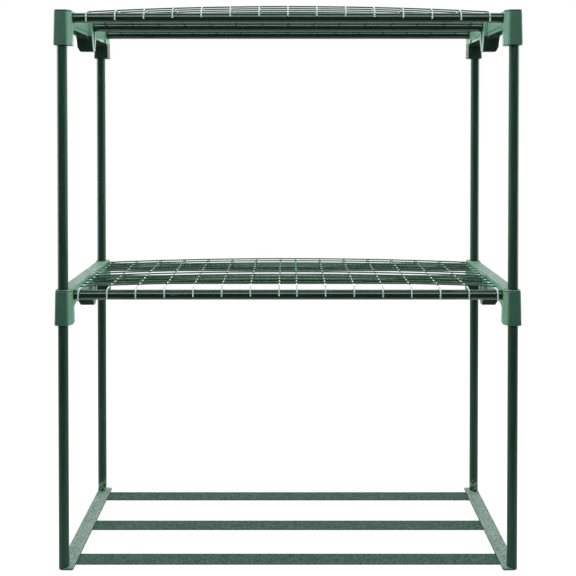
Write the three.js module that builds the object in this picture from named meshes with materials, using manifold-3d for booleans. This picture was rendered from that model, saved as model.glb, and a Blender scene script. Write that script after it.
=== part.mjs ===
// A two-tier plant growing rack. Tube legs and shelf bars push into moulded side rails, a welded
// wire shelf hooks over the bars of each tier, and the legs stand on a flat base frame.
// Millimetres, +Z up, +X to the right, the front at -Y, the origin on the floor at the middle.

import * as THREE from "three";
import { mergeVertices } from "three/addons/utils/BufferGeometryUtils.js";
import Module from "manifold-3d";

// Overall layout, measured between leg axes and up from the floor
const LEG_SPAN_X = 862;
const LEG_SPAN_Y = 268;
const UPPER_TIER_TOP = 1070; // flat top of the upper side rails
const LOWER_TIER_TOP = 537; // flat top of the lower side rails

// Tubes: the legs and the shelf bars are cut from the same tube
const TUBE_OD = 19;
const TUBE_WALL = 1;

// Clearances
const FIT_GAP = 0.3; // between a piece and what it seats in or stands on
const CUT_OVERRUN = 2; // how far a cutting tool runs past a face

// Side rail: an inverted channel with a raised lip along its inner edge
const RAIL_OUTER = 9.5; // leg axis to the outer face
const RAIL_INNER = 16; // leg axis to the inner face
const RAIL_HEIGHT = 34;
const RAIL_WALL = 2.5;
const RAIL_STEP_DROP = 26.5; // top to the step line on the inner face
const RAIL_STEP_DEPTH = 1;
const RAIL_LIP_WIDTH = 2;
const RAIL_LIP_HEIGHT = 1.2;

// Corner socket: a tapered block round the leg, with a boss behind it that takes the bar
const BLOCK_REACH = 12.5; // leg axis to the outer and front faces, and to the front face's inner edge
const BLOCK_BACK = 11.5; // leg axis to the face towards the middle of the rail
const BLOCK_OUTER_CORNER = 6;
const BLOCK_INNER_CORNER = 2.5;
const NOSE_REACH = 19.5; // leg axis to the nose, where the slanted inner face ends
const NOSE_FRONT = 2.5;
const NOSE_CORNER = 1.5;
const BOSS_REACH = 17.5; // leg axis to the face that the bar enters
const BOSS_BACK = 23.5;
const BOSS_TOP_DROP = 0.3;
const BOSS_GUSSET = 11; // radius of the hollow under the boss
const SOCKET_FLARE = 1.2; // how much wider each side of the block is at the bottom
const SOCKET_HEIGHT = 67;
const SOCKET_TOP_WEB = 3; // closes the upper tier's sockets
const SOCKET_STOP_WEB = 3; // parts the two legs in the lower tier's sockets
const BAR_INSET = 10; // leg axis to the outer bar's axis, towards the middle of the rail
const BAR_DROP = 13; // rail top to the bar's axis
const BAR_SEAT_WALL = 1.5; // between the leg's bore and the bar's seat

// Middle socket: tapers downwards below the rail, with a slot under the bar
const MIDDLE_REACH = 23; // leg axis to the socket's inner face
const MIDDLE_TOP_HALF = 17;
const MIDDLE_TIP_HALF = 7;
const MIDDLE_HEIGHT = 65;
const MIDDLE_GUSSET = 12; // radius of the hollows on both sides, under the rail
const MIDDLE_CHAMFER_WIDTH = 4.5; // on the outer bottom edge
const MIDDLE_CHAMFER_HEIGHT = 9;
const SLOT_TOP_HALF = 6;
const SLOT_TIP_HALF = 0.8;
const SLOT_TIP_RISE = 4; // between the slot's tip and the socket's bottom

// Wire shelf: cross wires hook over the front and rear bars, long wires lie on them
const WIRE = 2.8;
const WELD_SINK = 0.4; // how far a long wire is sunk into the cross wires
const LONG_WIRE_COUNT = 11;
const LONG_WIRE_INSET = 11.5; // outer bar's axis to the outermost long wire
const LONG_WIRE_OVERHANG = 3; // past the end cross wires
const HOOK_DROP = 21; // top of a cross wire to the end of its hook
const SHELVES = {
  // endInset is from the leg axis to the end cross wire, and centreGap parts the middle two wires
  // where their number is even
  lower: { crossWireCount: 16, centreGap: 34, endInset: 29, bow: 8 },
  upper: { crossWireCount: 15, endInset: 46, bow: 10 },
};

// Base frame: a shallow moulded rail under each pair of legs and three flats between them. A leg
// stands on a thin sole, in a pocket that is open to the front and to the outside.
const BASE_OUTER = 9.5; // leg axis to the outer edge and to each end
const BASE_INNER = 20; // leg axis to the inner edge
const BASE_INNER_CORNER = 6;
const BASE_HEIGHT = 3.6;
const BASE_WALL = 1.8; // also the sole under each leg
const PEG_HEIGHT = 25;
const PEG_WALL = 2;
const FLAT_WIDTH = 32;
const FLAT_THICKNESS = 1.5;
const FLAT_INSET = 23; // leg axis to the middle of the front and rear flats
const FLAT_END = 8; // leg axis to the flat's end, towards the middle of the rack
const STUD_DIAMETER = 5;

// Facets
const TUBE_SIDES = 16;
const CORNER_STEPS = 4;
const BEND_POINTS = 3;
const BOW_STEPS = 8;

// Worked out from the sizes above
const LEG_X = LEG_SPAN_X / 2;
const LEG_Y = LEG_SPAN_Y / 2;
const TUBE_RADIUS = TUBE_OD / 2;
const BORE_RADIUS = TUBE_RADIUS + FIT_GAP;
const BAR_SEAT = BORE_RADIUS + BAR_SEAT_WALL; // leg axis to the end of the bar's socket
const BAR_Y = LEG_Y - BAR_INSET;
const BAR_ROWS = [
  ["front", -BAR_Y],
  ["middle", 0],
  ["rear", BAR_Y],
];
const LEG_ROWS = [
  ["front", -LEG_Y],
  ["rear", LEG_Y],
];
const TIERS = {
  lower: { top: LOWER_TIER_TOP, openTop: true, shelf: SHELVES.lower },
  upper: { top: UPPER_TIER_TOP, openTop: false, shelf: SHELVES.upper },
};

// Finishes
const FINISHES = {
  moulded: { color: 0x3d6b55, roughness: 0.45, metalness: 0 },
  tube: { color: 0x1f3d2e, roughness: 0.3, metalness: 0.2 },
  wire: { color: 0x7fa890, roughness: 0.35, metalness: 0.2 },
  flat: { color: 0x4b6c5d, roughness: 0.5, metalness: 0.2 },
};

const wasm = await Module();
wasm.setup();

// A closed geometry as a solid that can be joined and cut
function toSolid(geometry) {
  const bare = geometry.clone();
  bare.deleteAttribute("normal");
  bare.deleteAttribute("uv");
  const merged = mergeVertices(bare);
  return new wasm.Manifold(
    new wasm.Mesh({
      numProp: 3,
      vertProperties: new Float32Array(merged.attributes.position.array),
      triVerts: new Uint32Array(merged.index.array),
    }),
  );
}

// A solid as a geometry with flat-shaded faces
function toGeometry(solid) {
  const { vertProperties, triVerts } = solid.getMesh();
  const indexed = new THREE.BufferGeometry();
  indexed.setAttribute("position", new THREE.BufferAttribute(vertProperties, 3));
  indexed.setIndex(new THREE.BufferAttribute(triVerts, 1));
  const geometry = indexed.toNonIndexed();
  geometry.computeVertexNormals();
  return geometry;
}

function join(solids) {
  return solids.reduce((whole, piece) => whole.add(piece));
}

function cut(solid, tools) {
  return tools.reduce((whole, tool) => whole.subtract(tool), solid);
}

// Points of a circle, one at each side's corner
function circlePoints(radius, sides) {
  return Array.from({ length: sides }, (_, i) => {
    const angle = (2 * Math.PI * i) / sides;
    return new THREE.Vector2(radius * Math.cos(angle), radius * Math.sin(angle));
  });
}

// Points of an arc, from one angle to the other
function arcPoints([x, y], radius, from, to) {
  return Array.from({ length: CORNER_STEPS + 1 }, (_, i) => {
    const angle = from + ((to - from) * i) / CORNER_STEPS;
    return [x + radius * Math.cos(angle), y + radius * Math.sin(angle)];
  });
}

// An outline through corners given as [x, y, radius], each rounded to its radius
function roundedOutline(corners) {
  return corners.flatMap(([x, y, radius], i) => {
    if (radius === 0) return [[x, y]];
    const corner = new THREE.Vector2(x, y);
    const [before, after] = [corners.at(i - 1), corners[(i + 1) % corners.length]].map(
      ([otherX, otherY]) => new THREE.Vector2(otherX, otherY).sub(corner).normalize(),
    );
    const halfAngle = Math.acos(before.dot(after)) / 2;
    const middle = before.clone().add(after).setLength(radius / Math.sin(halfAngle)).add(corner);
    const touches = [before, after].map((way) =>
      way.clone().multiplyScalar(radius / Math.tan(halfAngle)).add(corner).sub(middle).angle(),
    );
    const turn = Math.atan2(Math.sin(touches[1] - touches[0]), Math.cos(touches[1] - touches[0]));
    return arcPoints([middle.x, middle.y], radius, touches[0], touches[0] + turn);
  });
}

// Extrudes an outline along +Z, +X or -Y, from the plane at start
function extrudeZ(points, start, depth) {
  const shape = new THREE.Shape(points.map(([x, y]) => new THREE.Vector2(x, y)));
  const geometry = new THREE.ExtrudeGeometry(shape, { depth, bevelEnabled: false });
  return geometry.translate(0, 0, start);
}

// The outline is given as [y, z]
function extrudeX(points, start, depth) {
  const turn = new THREE.Matrix4().makeBasis(
    new THREE.Vector3(0, 1, 0),
    new THREE.Vector3(0, 0, 1),
    new THREE.Vector3(1, 0, 0),
  );
  return extrudeZ(points, 0, depth).applyMatrix4(turn).translate(start, 0, 0);
}

// The outline is given as [x, z], and start is the plane with the larger y
function extrudeY(points, start, depth) {
  return extrudeZ(points, 0, depth).rotateX(Math.PI / 2).translate(0, start, 0);
}

// A cylinder or cone along Z, from its bottom plane up
function columnZ(bottomRadius, topRadius, bottom, height, sides) {
  const geometry = new THREE.CylinderGeometry(topRadius, bottomRadius, height, sides);
  return geometry.rotateX(Math.PI / 2).translate(0, 0, bottom + height / 2);
}

// A cylinder along X, from its plane at start
function columnX(radius, start, length, sides) {
  const geometry = new THREE.CylinderGeometry(radius, radius, length, sides);
  return geometry.rotateX(Math.PI / 2).rotateY(Math.PI / 2).translate(start + length / 2, 0, 0);
}

// A tube along Z with both ends open
function tube(length, outerRadius, wall) {
  const shape = new THREE.Shape(circlePoints(outerRadius, TUBE_SIDES));
  shape.holes.push(new THREE.Path(circlePoints(outerRadius - wall, TUBE_SIDES).reverse()));
  return new THREE.ExtrudeGeometry(shape, { depth: length, bevelEnabled: false });
}

// The outline of a strip that follows an open path, half of its width to each side
function ribbon(path, width) {
  const half = width / 2;
  const heading = (a, b) => Math.atan2(b[1] - a[1], b[0] - a[0]);
  const sideOf = (side) =>
    path.map((point, i) => {
      const before = heading(path[Math.max(i - 1, 0)], path[Math.max(i, 1)]);
      const last = path.length - 1;
      const after = heading(path[Math.min(i, last - 1)], path[Math.min(i + 1, last)]);
      const mean = (before + after) / 2;
      const reach = (side * half) / Math.cos((after - before) / 2);
      return [point[0] - reach * Math.sin(mean), point[1] + reach * Math.cos(mean)];
    });
  return [...sideOf(-1), ...sideOf(1).reverse()];
}

// Pushes a socket's walls outwards with depth below its top, which is at z = 0
function flareDownwards(geometry) {
  const position = geometry.attributes.position;
  for (let i = 0; i < position.count; i++) {
    const push = (-position.getZ(i) / SOCKET_HEIGHT) * SOCKET_FLARE;
    position.setX(i, position.getX(i) + Math.sign(position.getX(i)) * push);
    position.setY(i, position.getY(i) + Math.sign(position.getY(i)) * push);
  }
  return geometry;
}

// Side rails. In a rail's own frame the leg axes are at x = 0, +X points to the middle of the
// rack, and the flat top is at z = 0.

function railBeam() {
  const inner = RAIL_INNER - RAIL_STEP_DEPTH;
  const outline = [
    [-RAIL_OUTER, -RAIL_HEIGHT],
    [-RAIL_OUTER + RAIL_WALL, -RAIL_HEIGHT],
    [-RAIL_OUTER + RAIL_WALL, -RAIL_WALL],
    [inner - RAIL_WALL, -RAIL_WALL],
    [inner - RAIL_WALL, -RAIL_HEIGHT],
    [inner, -RAIL_HEIGHT],
    [inner, -RAIL_STEP_DROP],
    [RAIL_INNER, -RAIL_STEP_DROP],
    [RAIL_INNER, RAIL_LIP_HEIGHT],
    [RAIL_INNER - RAIL_LIP_WIDTH, RAIL_LIP_HEIGHT],
    [RAIL_INNER - RAIL_LIP_WIDTH, 0],
    [-RAIL_OUTER, 0],
  ];
  return toSolid(extrudeY(outline, LEG_Y, LEG_SPAN_Y));
}

// Plan of the block, with its leg axis at the origin. The rail is towards +Y where along is 1, and
// towards -Y where it is -1.
function blockPlan(along) {
  const corners = [
    [-BLOCK_REACH, BLOCK_BACK, BLOCK_OUTER_CORNER],
    [-BLOCK_REACH, -BLOCK_REACH, BLOCK_OUTER_CORNER],
    [BLOCK_REACH, -BLOCK_REACH, BLOCK_INNER_CORNER],
    [NOSE_REACH, -NOSE_FRONT, NOSE_CORNER],
    [BOSS_REACH, BLOCK_BACK, NOSE_CORNER],
  ];
  return roundedOutline(corners).map(([x, y]) => [x, along * y]);
}

// Side view of the boss as [y, z], with the hollow under it
function bossSide(along) {
  const hollowMiddle = [BLOCK_BACK + BOSS_GUSSET, -RAIL_HEIGHT - BOSS_GUSSET];
  const outline = [
    [0, -BOSS_TOP_DROP],
    [0, -RAIL_HEIGHT - BOSS_GUSSET],
    ...arcPoints(hollowMiddle, BOSS_GUSSET, Math.PI, Math.PI / 2),
    [BOSS_BACK, -BOSS_TOP_DROP],
  ];
  return outline.map(([y, z]) => [along * y, z]);
}

// The corner socket at one end of the rail, which runs towards +Y or -Y from it
function cornerSocket(along) {
  const block = flareDownwards(extrudeZ(blockPlan(along), -SOCKET_HEIGHT, SOCKET_HEIGHT));
  const boss = extrudeX(bossSide(along), -RAIL_OUTER, RAIL_OUTER + BOSS_REACH);
  return join([block, boss].map((geometry) => toSolid(geometry.translate(0, -along * LEG_Y, 0))));
}

// The middle socket: tapered below the rail, with a hollow on each side and its outer edge cut
function middleSocket() {
  const bothSides = (half) => [...half, ...half.map(([y, ...rest]) => [-y, ...rest]).reverse()];
  const face = bothSides([
    [MIDDLE_TIP_HALF, -MIDDLE_HEIGHT],
    [MIDDLE_TOP_HALF, -RAIL_HEIGHT],
    [MIDDLE_TOP_HALF, 0],
  ]);
  const underRail = bothSides([
    [MIDDLE_TIP_HALF, -MIDDLE_HEIGHT, 0],
    [MIDDLE_TOP_HALF, -RAIL_HEIGHT, MIDDLE_GUSSET],
    [MIDDLE_TOP_HALF + MIDDLE_GUSSET, -RAIL_HEIGHT, 0],
    [MIDDLE_TOP_HALF + MIDDLE_GUSSET, -RAIL_WALL / 2, 0],
  ]);
  const outerEdge = [
    [-RAIL_OUTER, -MIDDLE_HEIGHT + MIDDLE_CHAMFER_HEIGHT],
    [-RAIL_OUTER + MIDDLE_CHAMFER_WIDTH, -MIDDLE_HEIGHT],
    [-RAIL_OUTER + MIDDLE_CHAMFER_WIDTH, -MIDDLE_HEIGHT - CUT_OVERRUN],
    [-RAIL_OUTER - CUT_OVERRUN, -MIDDLE_HEIGHT - CUT_OVERRUN],
    [-RAIL_OUTER - CUT_OVERRUN, -MIDDLE_HEIGHT + MIDDLE_CHAMFER_HEIGHT],
  ];
  const railDepth = RAIL_OUTER + RAIL_INNER - RAIL_STEP_DEPTH;
  const body = join([
    toSolid(extrudeX(face, -RAIL_OUTER, RAIL_OUTER + MIDDLE_REACH)),
    toSolid(extrudeX(roundedOutline(underRail), -RAIL_OUTER, railDepth)),
  ]);
  return cut(body, [toSolid(extrudeY(outerEdge, MIDDLE_TOP_HALF, 2 * MIDDLE_TOP_HALF))]);
}

// The bar's socket, at a bar axis with y = 0, and the tapered slot that the middle one has below it
function barSocketTools(hasSlot) {
  const reach = MIDDLE_REACH + CUT_OVERRUN - BAR_SEAT;
  const slotTip = -MIDDLE_HEIGHT + SLOT_TIP_RISE;
  const slot = [
    [-SLOT_TIP_HALF, slotTip],
    [SLOT_TIP_HALF, slotTip],
    [SLOT_TOP_HALF, -BAR_DROP],
    [-SLOT_TOP_HALF, -BAR_DROP],
  ];
  const socket = columnX(BORE_RADIUS, BAR_SEAT, reach, TUBE_SIDES).translate(0, 0, -BAR_DROP);
  return hasSlot ? [socket, extrudeX(slot, BAR_SEAT, reach)] : [socket];
}

// Bores for the legs: from below to a web, and on the lower tier from above too
function legBoreTools(openTop) {
  const web = openTop ? (SOCKET_HEIGHT + SOCKET_STOP_WEB) / 2 : SOCKET_TOP_WEB;
  const bottom = -SOCKET_HEIGHT - CUT_OVERRUN;
  const tools = [columnZ(BORE_RADIUS, BORE_RADIUS, bottom, -web - bottom, TUBE_SIDES)];
  if (openTop) {
    const depth = (SOCKET_HEIGHT - SOCKET_STOP_WEB) / 2;
    tools.push(columnZ(BORE_RADIUS, BORE_RADIUS, -depth, depth + CUT_OVERRUN, TUBE_SIDES));
  }
  return tools;
}

function sideRail(openTop) {
  const body = join([railBeam(), cornerSocket(1), cornerSocket(-1), middleSocket()]);
  const atRow = (y) => (tool) => toSolid(tool.translate(0, y, 0));
  const tools = [
    ...BAR_ROWS.flatMap(([row, y]) => barSocketTools(row === "middle").map(atRow(y))),
    ...LEG_ROWS.flatMap(([, y]) => legBoreTools(openTop).map(atRow(y))),
  ];
  return toGeometry(cut(body, tools));
}

// Wire shelves. In a shelf's own frame the rail's flat top is at z = 0.

// Distance from the middle to each cross wire, from one end of the shelf to the other
function crossWirePlaces({ crossWireCount, centreGap, endInset }) {
  const perSide = Math.floor(crossWireCount / 2);
  const hasCentreWire = crossWireCount % 2 === 1;
  const reach = LEG_X - endInset;
  const first = hasCentreWire ? reach / perSide : centreGap / 2;
  const pitch = (reach - first) / (perSide - 1);
  const right = Array.from({ length: perSide }, (_, i) => first + i * pitch);
  return [...right.map((x) => -x).reverse(), ...(hasCentreWire ? [0] : []), ...right];
}

// One cross wire as [y, z]: up from the front hook, round the front bar, back and down again
function crossWirePath() {
  const radius = TUBE_RADIUS + FIT_GAP + WIRE / 2;
  const step = Math.PI / 2 / BEND_POINTS;
  const cornerRadius = radius / Math.cos(step / 2);
  const hookEnd = -BAR_DROP + radius + WIRE / 2 - HOOK_DROP;
  const bend = Array.from({ length: BEND_POINTS }, (_, i) => {
    const angle = (i + 1 / 2) * step;
    return [-BAR_Y - cornerRadius * Math.cos(angle), -BAR_DROP + cornerRadius * Math.sin(angle)];
  });
  const front = [[-BAR_Y - radius, hookEnd], ...bend];
  return [...front, ...front.map(([y, z]) => [-y, z]).reverse()];
}

// Height of the bowed shelf above its ends
function bowAt(x, bow, halfLength) {
  return bow * (1 - (x / halfLength) ** 2);
}

function longWirePath(bow, halfLength, reach) {
  const deck = -BAR_DROP + TUBE_RADIUS + FIT_GAP + WIRE - WELD_SINK + WIRE / 2;
  return Array.from({ length: BOW_STEPS + 1 }, (_, i) => {
    const x = reach * ((2 * i) / BOW_STEPS - 1);
    return [x, deck + bowAt(x, bow, halfLength)];
  });
}

function wireShelf(shelf) {
  const places = crossWirePlaces(shelf);
  const halfLength = places[places.length - 1];
  const reach = halfLength + WIRE / 2 + LONG_WIRE_OVERHANG;
  const crossOutline = ribbon(crossWirePath(), WIRE);
  const crossWires = places.map((x) =>
    extrudeX(crossOutline, x - WIRE / 2, WIRE).translate(0, 0, bowAt(x, shelf.bow, halfLength)),
  );
  const longOutline = ribbon(longWirePath(shelf.bow, halfLength, reach), WIRE);
  const outermost = BAR_Y - LONG_WIRE_INSET;
  const longWires = Array.from({ length: LONG_WIRE_COUNT }, (_, i) => {
    const y = outermost * ((2 * i) / (LONG_WIRE_COUNT - 1) - 1);
    return extrudeY(longOutline, y + WIRE / 2, WIRE);
  });
  return toGeometry(join([...crossWires, ...longWires].map(toSolid)));
}

// Base frame

function flatRows() {
  const offset = LEG_Y - FLAT_INSET;
  return [
    ["front", -offset],
    ["middle", 0],
    ["rear", offset],
  ];
}

// Studs under the base rails hold the flats by their ends
function studX() {
  return (FLAT_END + BASE_INNER) / 2;
}

// A cutting box from below the floor up to a height, between two places in x and two in y
function boxBelow(height, [left, right], [front, rear]) {
  const box = new THREE.BoxGeometry(right - left, rear - front, height + CUT_OVERRUN);
  return box.translate((left + right) / 2, (front + rear) / 2, (height - CUT_OVERRUN) / 2);
}

// Plan of a base rail, with its outer corners rounded about the leg axes
function basePlan() {
  const end = LEG_Y + BASE_OUTER;
  return roundedOutline([
    [-BASE_OUTER, -end, BASE_OUTER],
    [BASE_INNER, -end, BASE_INNER_CORNER],
    [BASE_INNER, end, BASE_INNER_CORNER],
    [-BASE_OUTER, end, BASE_OUTER],
  ]);
}

// A base rail with its leg axes at x = 0, +X towards the middle, standing on z = 0
function baseRail() {
  const under = BASE_HEIGHT - BASE_WALL;
  const plate = toSolid(extrudeZ(basePlan(), 0, BASE_HEIGHT));
  const hollowSides = [-BASE_OUTER + BASE_WALL, BASE_INNER - BASE_WALL];
  const hollowEnd = LEG_Y - BORE_RADIUS - BASE_WALL;
  const hollow = toSolid(boxBelow(under, hollowSides, [-hollowEnd, hollowEnd]));
  const seatSides = [FLAT_END - FIT_GAP, BASE_INNER + CUT_OVERRUN];
  const seatHalf = FLAT_WIDTH / 2 + FIT_GAP;
  const flatSeats = flatRows().map(([, y]) => {
    return toSolid(boxBelow(under, seatSides, [y - seatHalf, y + seatHalf]));
  });
  const pocketHeight = under + CUT_OVERRUN;
  const pockets = LEG_ROWS.map(([, y]) => {
    const pocket = columnZ(BORE_RADIUS, BORE_RADIUS, BASE_WALL, pocketHeight, TUBE_SIDES);
    return toSolid(pocket.translate(0, y, 0));
  });
  const pegRadius = TUBE_RADIUS - TUBE_WALL - FIT_GAP;
  const pegs = LEG_ROWS.map(([, y]) => {
    const peg = tube(BASE_WALL + PEG_HEIGHT, pegRadius, PEG_WALL);
    return toSolid(peg.translate(0, y, 0));
  });
  const studs = flatRows().map(([, y]) => {
    const stud = columnZ(STUD_DIAMETER / 2, STUD_DIAMETER / 2, 0, BASE_HEIGHT, TUBE_SIDES);
    return toSolid(stud.translate(studX(), y, 0));
  });
  return toGeometry(join([cut(plate, [hollow, ...flatSeats, ...pockets]), ...pegs, ...studs]));
}

function baseFlat() {
  const halfLength = LEG_X - FLAT_END;
  const bar = new THREE.BoxGeometry(2 * halfLength, FLAT_WIDTH, FLAT_THICKNESS);
  bar.translate(0, 0, FLAT_THICKNESS / 2);
  const holeRadius = STUD_DIAMETER / 2 + FIT_GAP;
  const holeHeight = FLAT_THICKNESS + 2 * CUT_OVERRUN;
  const holes = [-1, 1].map((side) => {
    const hole = columnZ(holeRadius, holeRadius, -CUT_OVERRUN, holeHeight, TUBE_SIDES);
    return toSolid(hole.translate(side * (LEG_X - studX()), 0, 0));
  });
  return toGeometry(cut(toSolid(bar), holes));
}

// Assembly
const rack = new THREE.Group();

function addPiece(parent, name, geometry, finish) {
  const mesh = new THREE.Mesh(geometry, new THREE.MeshStandardMaterial(FINISHES[finish]));
  mesh.name = name;
  parent.add(mesh);
  return mesh;
}

// Each end of the rack has its own group at the leg axes, mirrored for the right end
const ENDS = [
  ["left", -1],
  ["right", 1],
].map(([name, side]) => {
  const group = new THREE.Group();
  group.position.x = side * LEG_X;
  group.scale.x = -side;
  rack.add(group);
  return { name, group };
});

function addSideRails() {
  for (const [tier, { top, openTop }] of Object.entries(TIERS)) {
    const geometry = sideRail(openTop);
    for (const { name, group } of ENDS) {
      addPiece(group, `${name}_${tier}_side_rail`, geometry, "moulded").position.z = top;
    }
  }
}

function addLegs() {
  const stop = SOCKET_STOP_WEB / 2 + FIT_GAP;
  const socketMiddle = LOWER_TIER_TOP - SOCKET_HEIGHT / 2;
  const spans = {
    lower: [BASE_WALL + FIT_GAP, socketMiddle - stop],
    upper: [socketMiddle + stop, UPPER_TIER_TOP - SOCKET_TOP_WEB - FIT_GAP],
  };
  for (const [tier, [bottom, top]] of Object.entries(spans)) {
    const geometry = tube(top - bottom, TUBE_RADIUS, TUBE_WALL);
    for (const { name, group } of ENDS) {
      for (const [row, y] of LEG_ROWS) {
        const leg = addPiece(group, `${row}_${name}_${tier}_leg`, geometry, "tube");
        leg.position.set(0, y, bottom);
      }
    }
  }
}

function addShelfBars() {
  const length = LEG_SPAN_X - 2 * (BAR_SEAT + FIT_GAP);
  for (const [tier, { top }] of Object.entries(TIERS)) {
    for (const [row, y] of BAR_ROWS) {
      const bar = addPiece(rack, `${tier}_${row}_bar`, tube(length, TUBE_RADIUS, TUBE_WALL), "tube");
      bar.rotation.y = Math.PI / 2;
      bar.position.set(-length / 2, y, top - BAR_DROP);
    }
  }
}

function addWireShelves() {
  for (const [tier, { top, shelf }] of Object.entries(TIERS)) {
    addPiece(rack, `${tier}_wire_shelf`, wireShelf(shelf), "wire").position.z = top;
  }
}

function addBase() {
  const rail = baseRail();
  for (const { name, group } of ENDS) addPiece(group, `${name}_base_rail`, rail, "moulded");
  const flat = baseFlat();
  for (const [row, y] of flatRows()) {
    addPiece(rack, `${row}_base_flat`, flat, "flat").position.y = y;
  }
}

addSideRails();
addLegs();
addShelfBars();
addWireShelves();
addBase();

export default rack;
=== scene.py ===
"""Studio model of a push-fit plant growing rack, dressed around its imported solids.

Tube legs and tube shelf bars push into four moulded side rails, a welded wire shelf hooks over the
bars of each tier, and the legs stand on a flat base frame. The sizes in the classes are in
millimetres, and the meshes are written in metres. The node groups work in metres.
"""
import logging
import math
from dataclasses import dataclass, field
from enum import Enum
from typing import Sequence

import bmesh
import bpy
from mathutils import Matrix, Vector


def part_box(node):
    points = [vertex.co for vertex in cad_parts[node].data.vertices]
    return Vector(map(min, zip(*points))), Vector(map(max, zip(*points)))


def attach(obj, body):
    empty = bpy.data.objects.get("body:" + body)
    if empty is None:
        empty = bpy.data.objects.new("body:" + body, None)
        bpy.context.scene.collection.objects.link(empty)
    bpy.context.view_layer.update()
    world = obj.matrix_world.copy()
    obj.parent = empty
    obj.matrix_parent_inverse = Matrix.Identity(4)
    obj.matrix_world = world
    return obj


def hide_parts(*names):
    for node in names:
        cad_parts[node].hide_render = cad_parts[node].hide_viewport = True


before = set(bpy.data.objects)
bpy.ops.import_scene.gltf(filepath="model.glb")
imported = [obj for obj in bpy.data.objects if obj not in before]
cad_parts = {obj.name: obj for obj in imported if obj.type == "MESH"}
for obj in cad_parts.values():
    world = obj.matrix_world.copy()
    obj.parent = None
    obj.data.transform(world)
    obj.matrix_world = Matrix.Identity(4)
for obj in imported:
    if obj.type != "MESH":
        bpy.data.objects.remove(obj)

LOG = logging.getLogger("rack")
MM = 0.001
FULL_TURN = 2 * math.pi
SMOOTH_ANGLE = math.radians(32)
WIRE_SMOOTH_ANGLE = math.radians(60)
MERGE_DISTANCE = 1e-6
BROAD_FACE_WEIGHT = 90
CROSS_WIRE = "cross_wire"
NOISE_MEAN = 0.5
WHITE = (1.0, 1.0, 1.0, 1.0)

Point = tuple[float, float]
Corner = tuple[float, ...]
Colour = tuple[float, float, float, float]
Span = tuple[float, ...]  # the two ends of a range, and what they become where that isn't 0 and 1


# Named options


class Along(Enum):
    """The axis that an outline is drawn out along, as the order of the coordinates for it."""

    X = (2, 0, 1)
    Y = (0, 2, 1)
    Z = (0, 1, 2)

    def place(self, across: float, up: float, distance: float) -> Vector:
        """A point in space, with the outline in YZ for X, in XZ for Y and in XY for Z."""
        given = (across, up, distance)
        return Vector([given[index] for index in self.value])


class Labelled(Enum):
    """A choice whose name, in small letters, is in the names of its pieces."""

    @property
    def label(self) -> str:
        """The choice's name in small letters."""
        return self.name.lower()


class Side(Labelled):
    """An end of the rack, by the sign of its place."""

    LEFT = -1
    RIGHT = 1


class Row(Labelled):
    """A row of legs, bars or strips, by the sign of its place."""

    FRONT = -1
    MIDDLE = 0
    REAR = 1


class Tier(Labelled):
    """A tier of the rack."""

    LOWER = 0
    UPPER = 1


class Body(Enum):
    """The bodies that move on their own."""

    FRAME = "frame"
    LOWER_SHELF = "lower_shelf"
    UPPER_SHELF = "upper_shelf"


class Work(Enum):
    """What is done with a shape, by the name of the operation."""

    JOIN = "UNION"
    CUT = "DIFFERENCE"


class Slot(Enum):
    """The record's material slots."""

    MOULDED = "moulded"
    TUBE = "tube"
    WIRE = "wire"
    FLAT = "flat"

    @property
    def ending(self) -> str:
        """The word that ends the names of the slot's pieces."""
        return {"moulded": "moulding", "wire": "wires", "flat": "strip"}.get(self.value, self.value)


# Outlines and solids


def rounded(corners: Sequence[Corner], steps: int = 4) -> list[Point]:
    """Rounds the corners of a closed outline.

    Args:
        corners: Each corner as its two coordinates and its radius.
        steps: How many straight pieces make one rounded corner.

    Returns:
        The outline's points in the same order.
    """
    points: list[Point] = []
    for index, (x, y, radius) in enumerate(corners):
        if radius <= 0:
            points.append((x, y))
            continue
        corner = Vector((x, y))
        before = (Vector(corners[index - 1][:2]) - corner).normalized()
        after = (Vector(corners[(index + 1) % len(corners)][:2]) - corner).normalized()
        half = before.angle(after) / 2
        start = corner + before * radius / math.tan(half)
        end = corner + after * radius / math.tan(half)
        centre = corner + (before + after).normalized() * radius / math.sin(half)
        first, last = start - centre, end - centre
        turn = math.atan2(first.x * last.y - first.y * last.x, first.dot(last))
        for step in range(steps + 1):
            arm = first.copy()
            arm.rotate(Matrix.Rotation(turn * step / steps, 2))
            points.append(tuple(centre + arm))
    return points


def both_sides(corners: Sequence[Corner]) -> list[Corner]:
    """Completes an outline that is the same on both sides.

    Args:
        corners: The corners at +X, from the lowest to the highest.

    Returns:
        All corners anticlockwise, from the lowest one at -X.
    """
    mirrored = [(-x, *rest) for x, *rest in corners]
    return [mirrored[0], *corners, *reversed(mirrored[1:])]


def drawn_in(points: Sequence[Point], distance: float) -> list[Point]:
    """Moves every edge of a closed outline inwards.

    Args:
        points: The outline, anticlockwise.
        distance: How far in each edge moves.

    Returns:
        The smaller outline, with as many points.
    """
    result: list[Point] = []
    for index, point in enumerate(points):
        here = Vector(point)
        before = (here - Vector(points[index - 1])).normalized()
        after = (Vector(points[(index + 1) % len(points)]) - here).normalized()
        first, second = Vector((-before.y, before.x)), Vector((-after.y, after.x))
        mitre = (first + second) / (1 + first.dot(second))
        result.append(tuple(here + mitre * distance))
    return result


def quarter_round(radius: float, steps: int) -> list[Point]:
    """A rounded edge as pairs of inset and height, from the full inset to none."""
    turns = (math.pi / 2 * step / steps for step in range(steps + 1))
    return [(radius * (1 - math.sin(t)), radius * (1 - math.cos(t))) for t in turns]


def end_levels(start: float, end: float, radius: float, steps: int = 3) -> list[Point]:
    """Lays out a length whose two end edges are rounded.

    Args:
        start: Where it starts.
        end: Where it ends.
        radius: The radius of the edges.
        steps: How many straight pieces make the rounding.

    Returns:
        Pairs of inset and place, in order.
    """
    edge = quarter_round(radius, steps)
    levels = [(inset, start + height) for inset, height in edge]
    return levels + [(inset, end - height) for inset, height in reversed(edge)]


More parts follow.
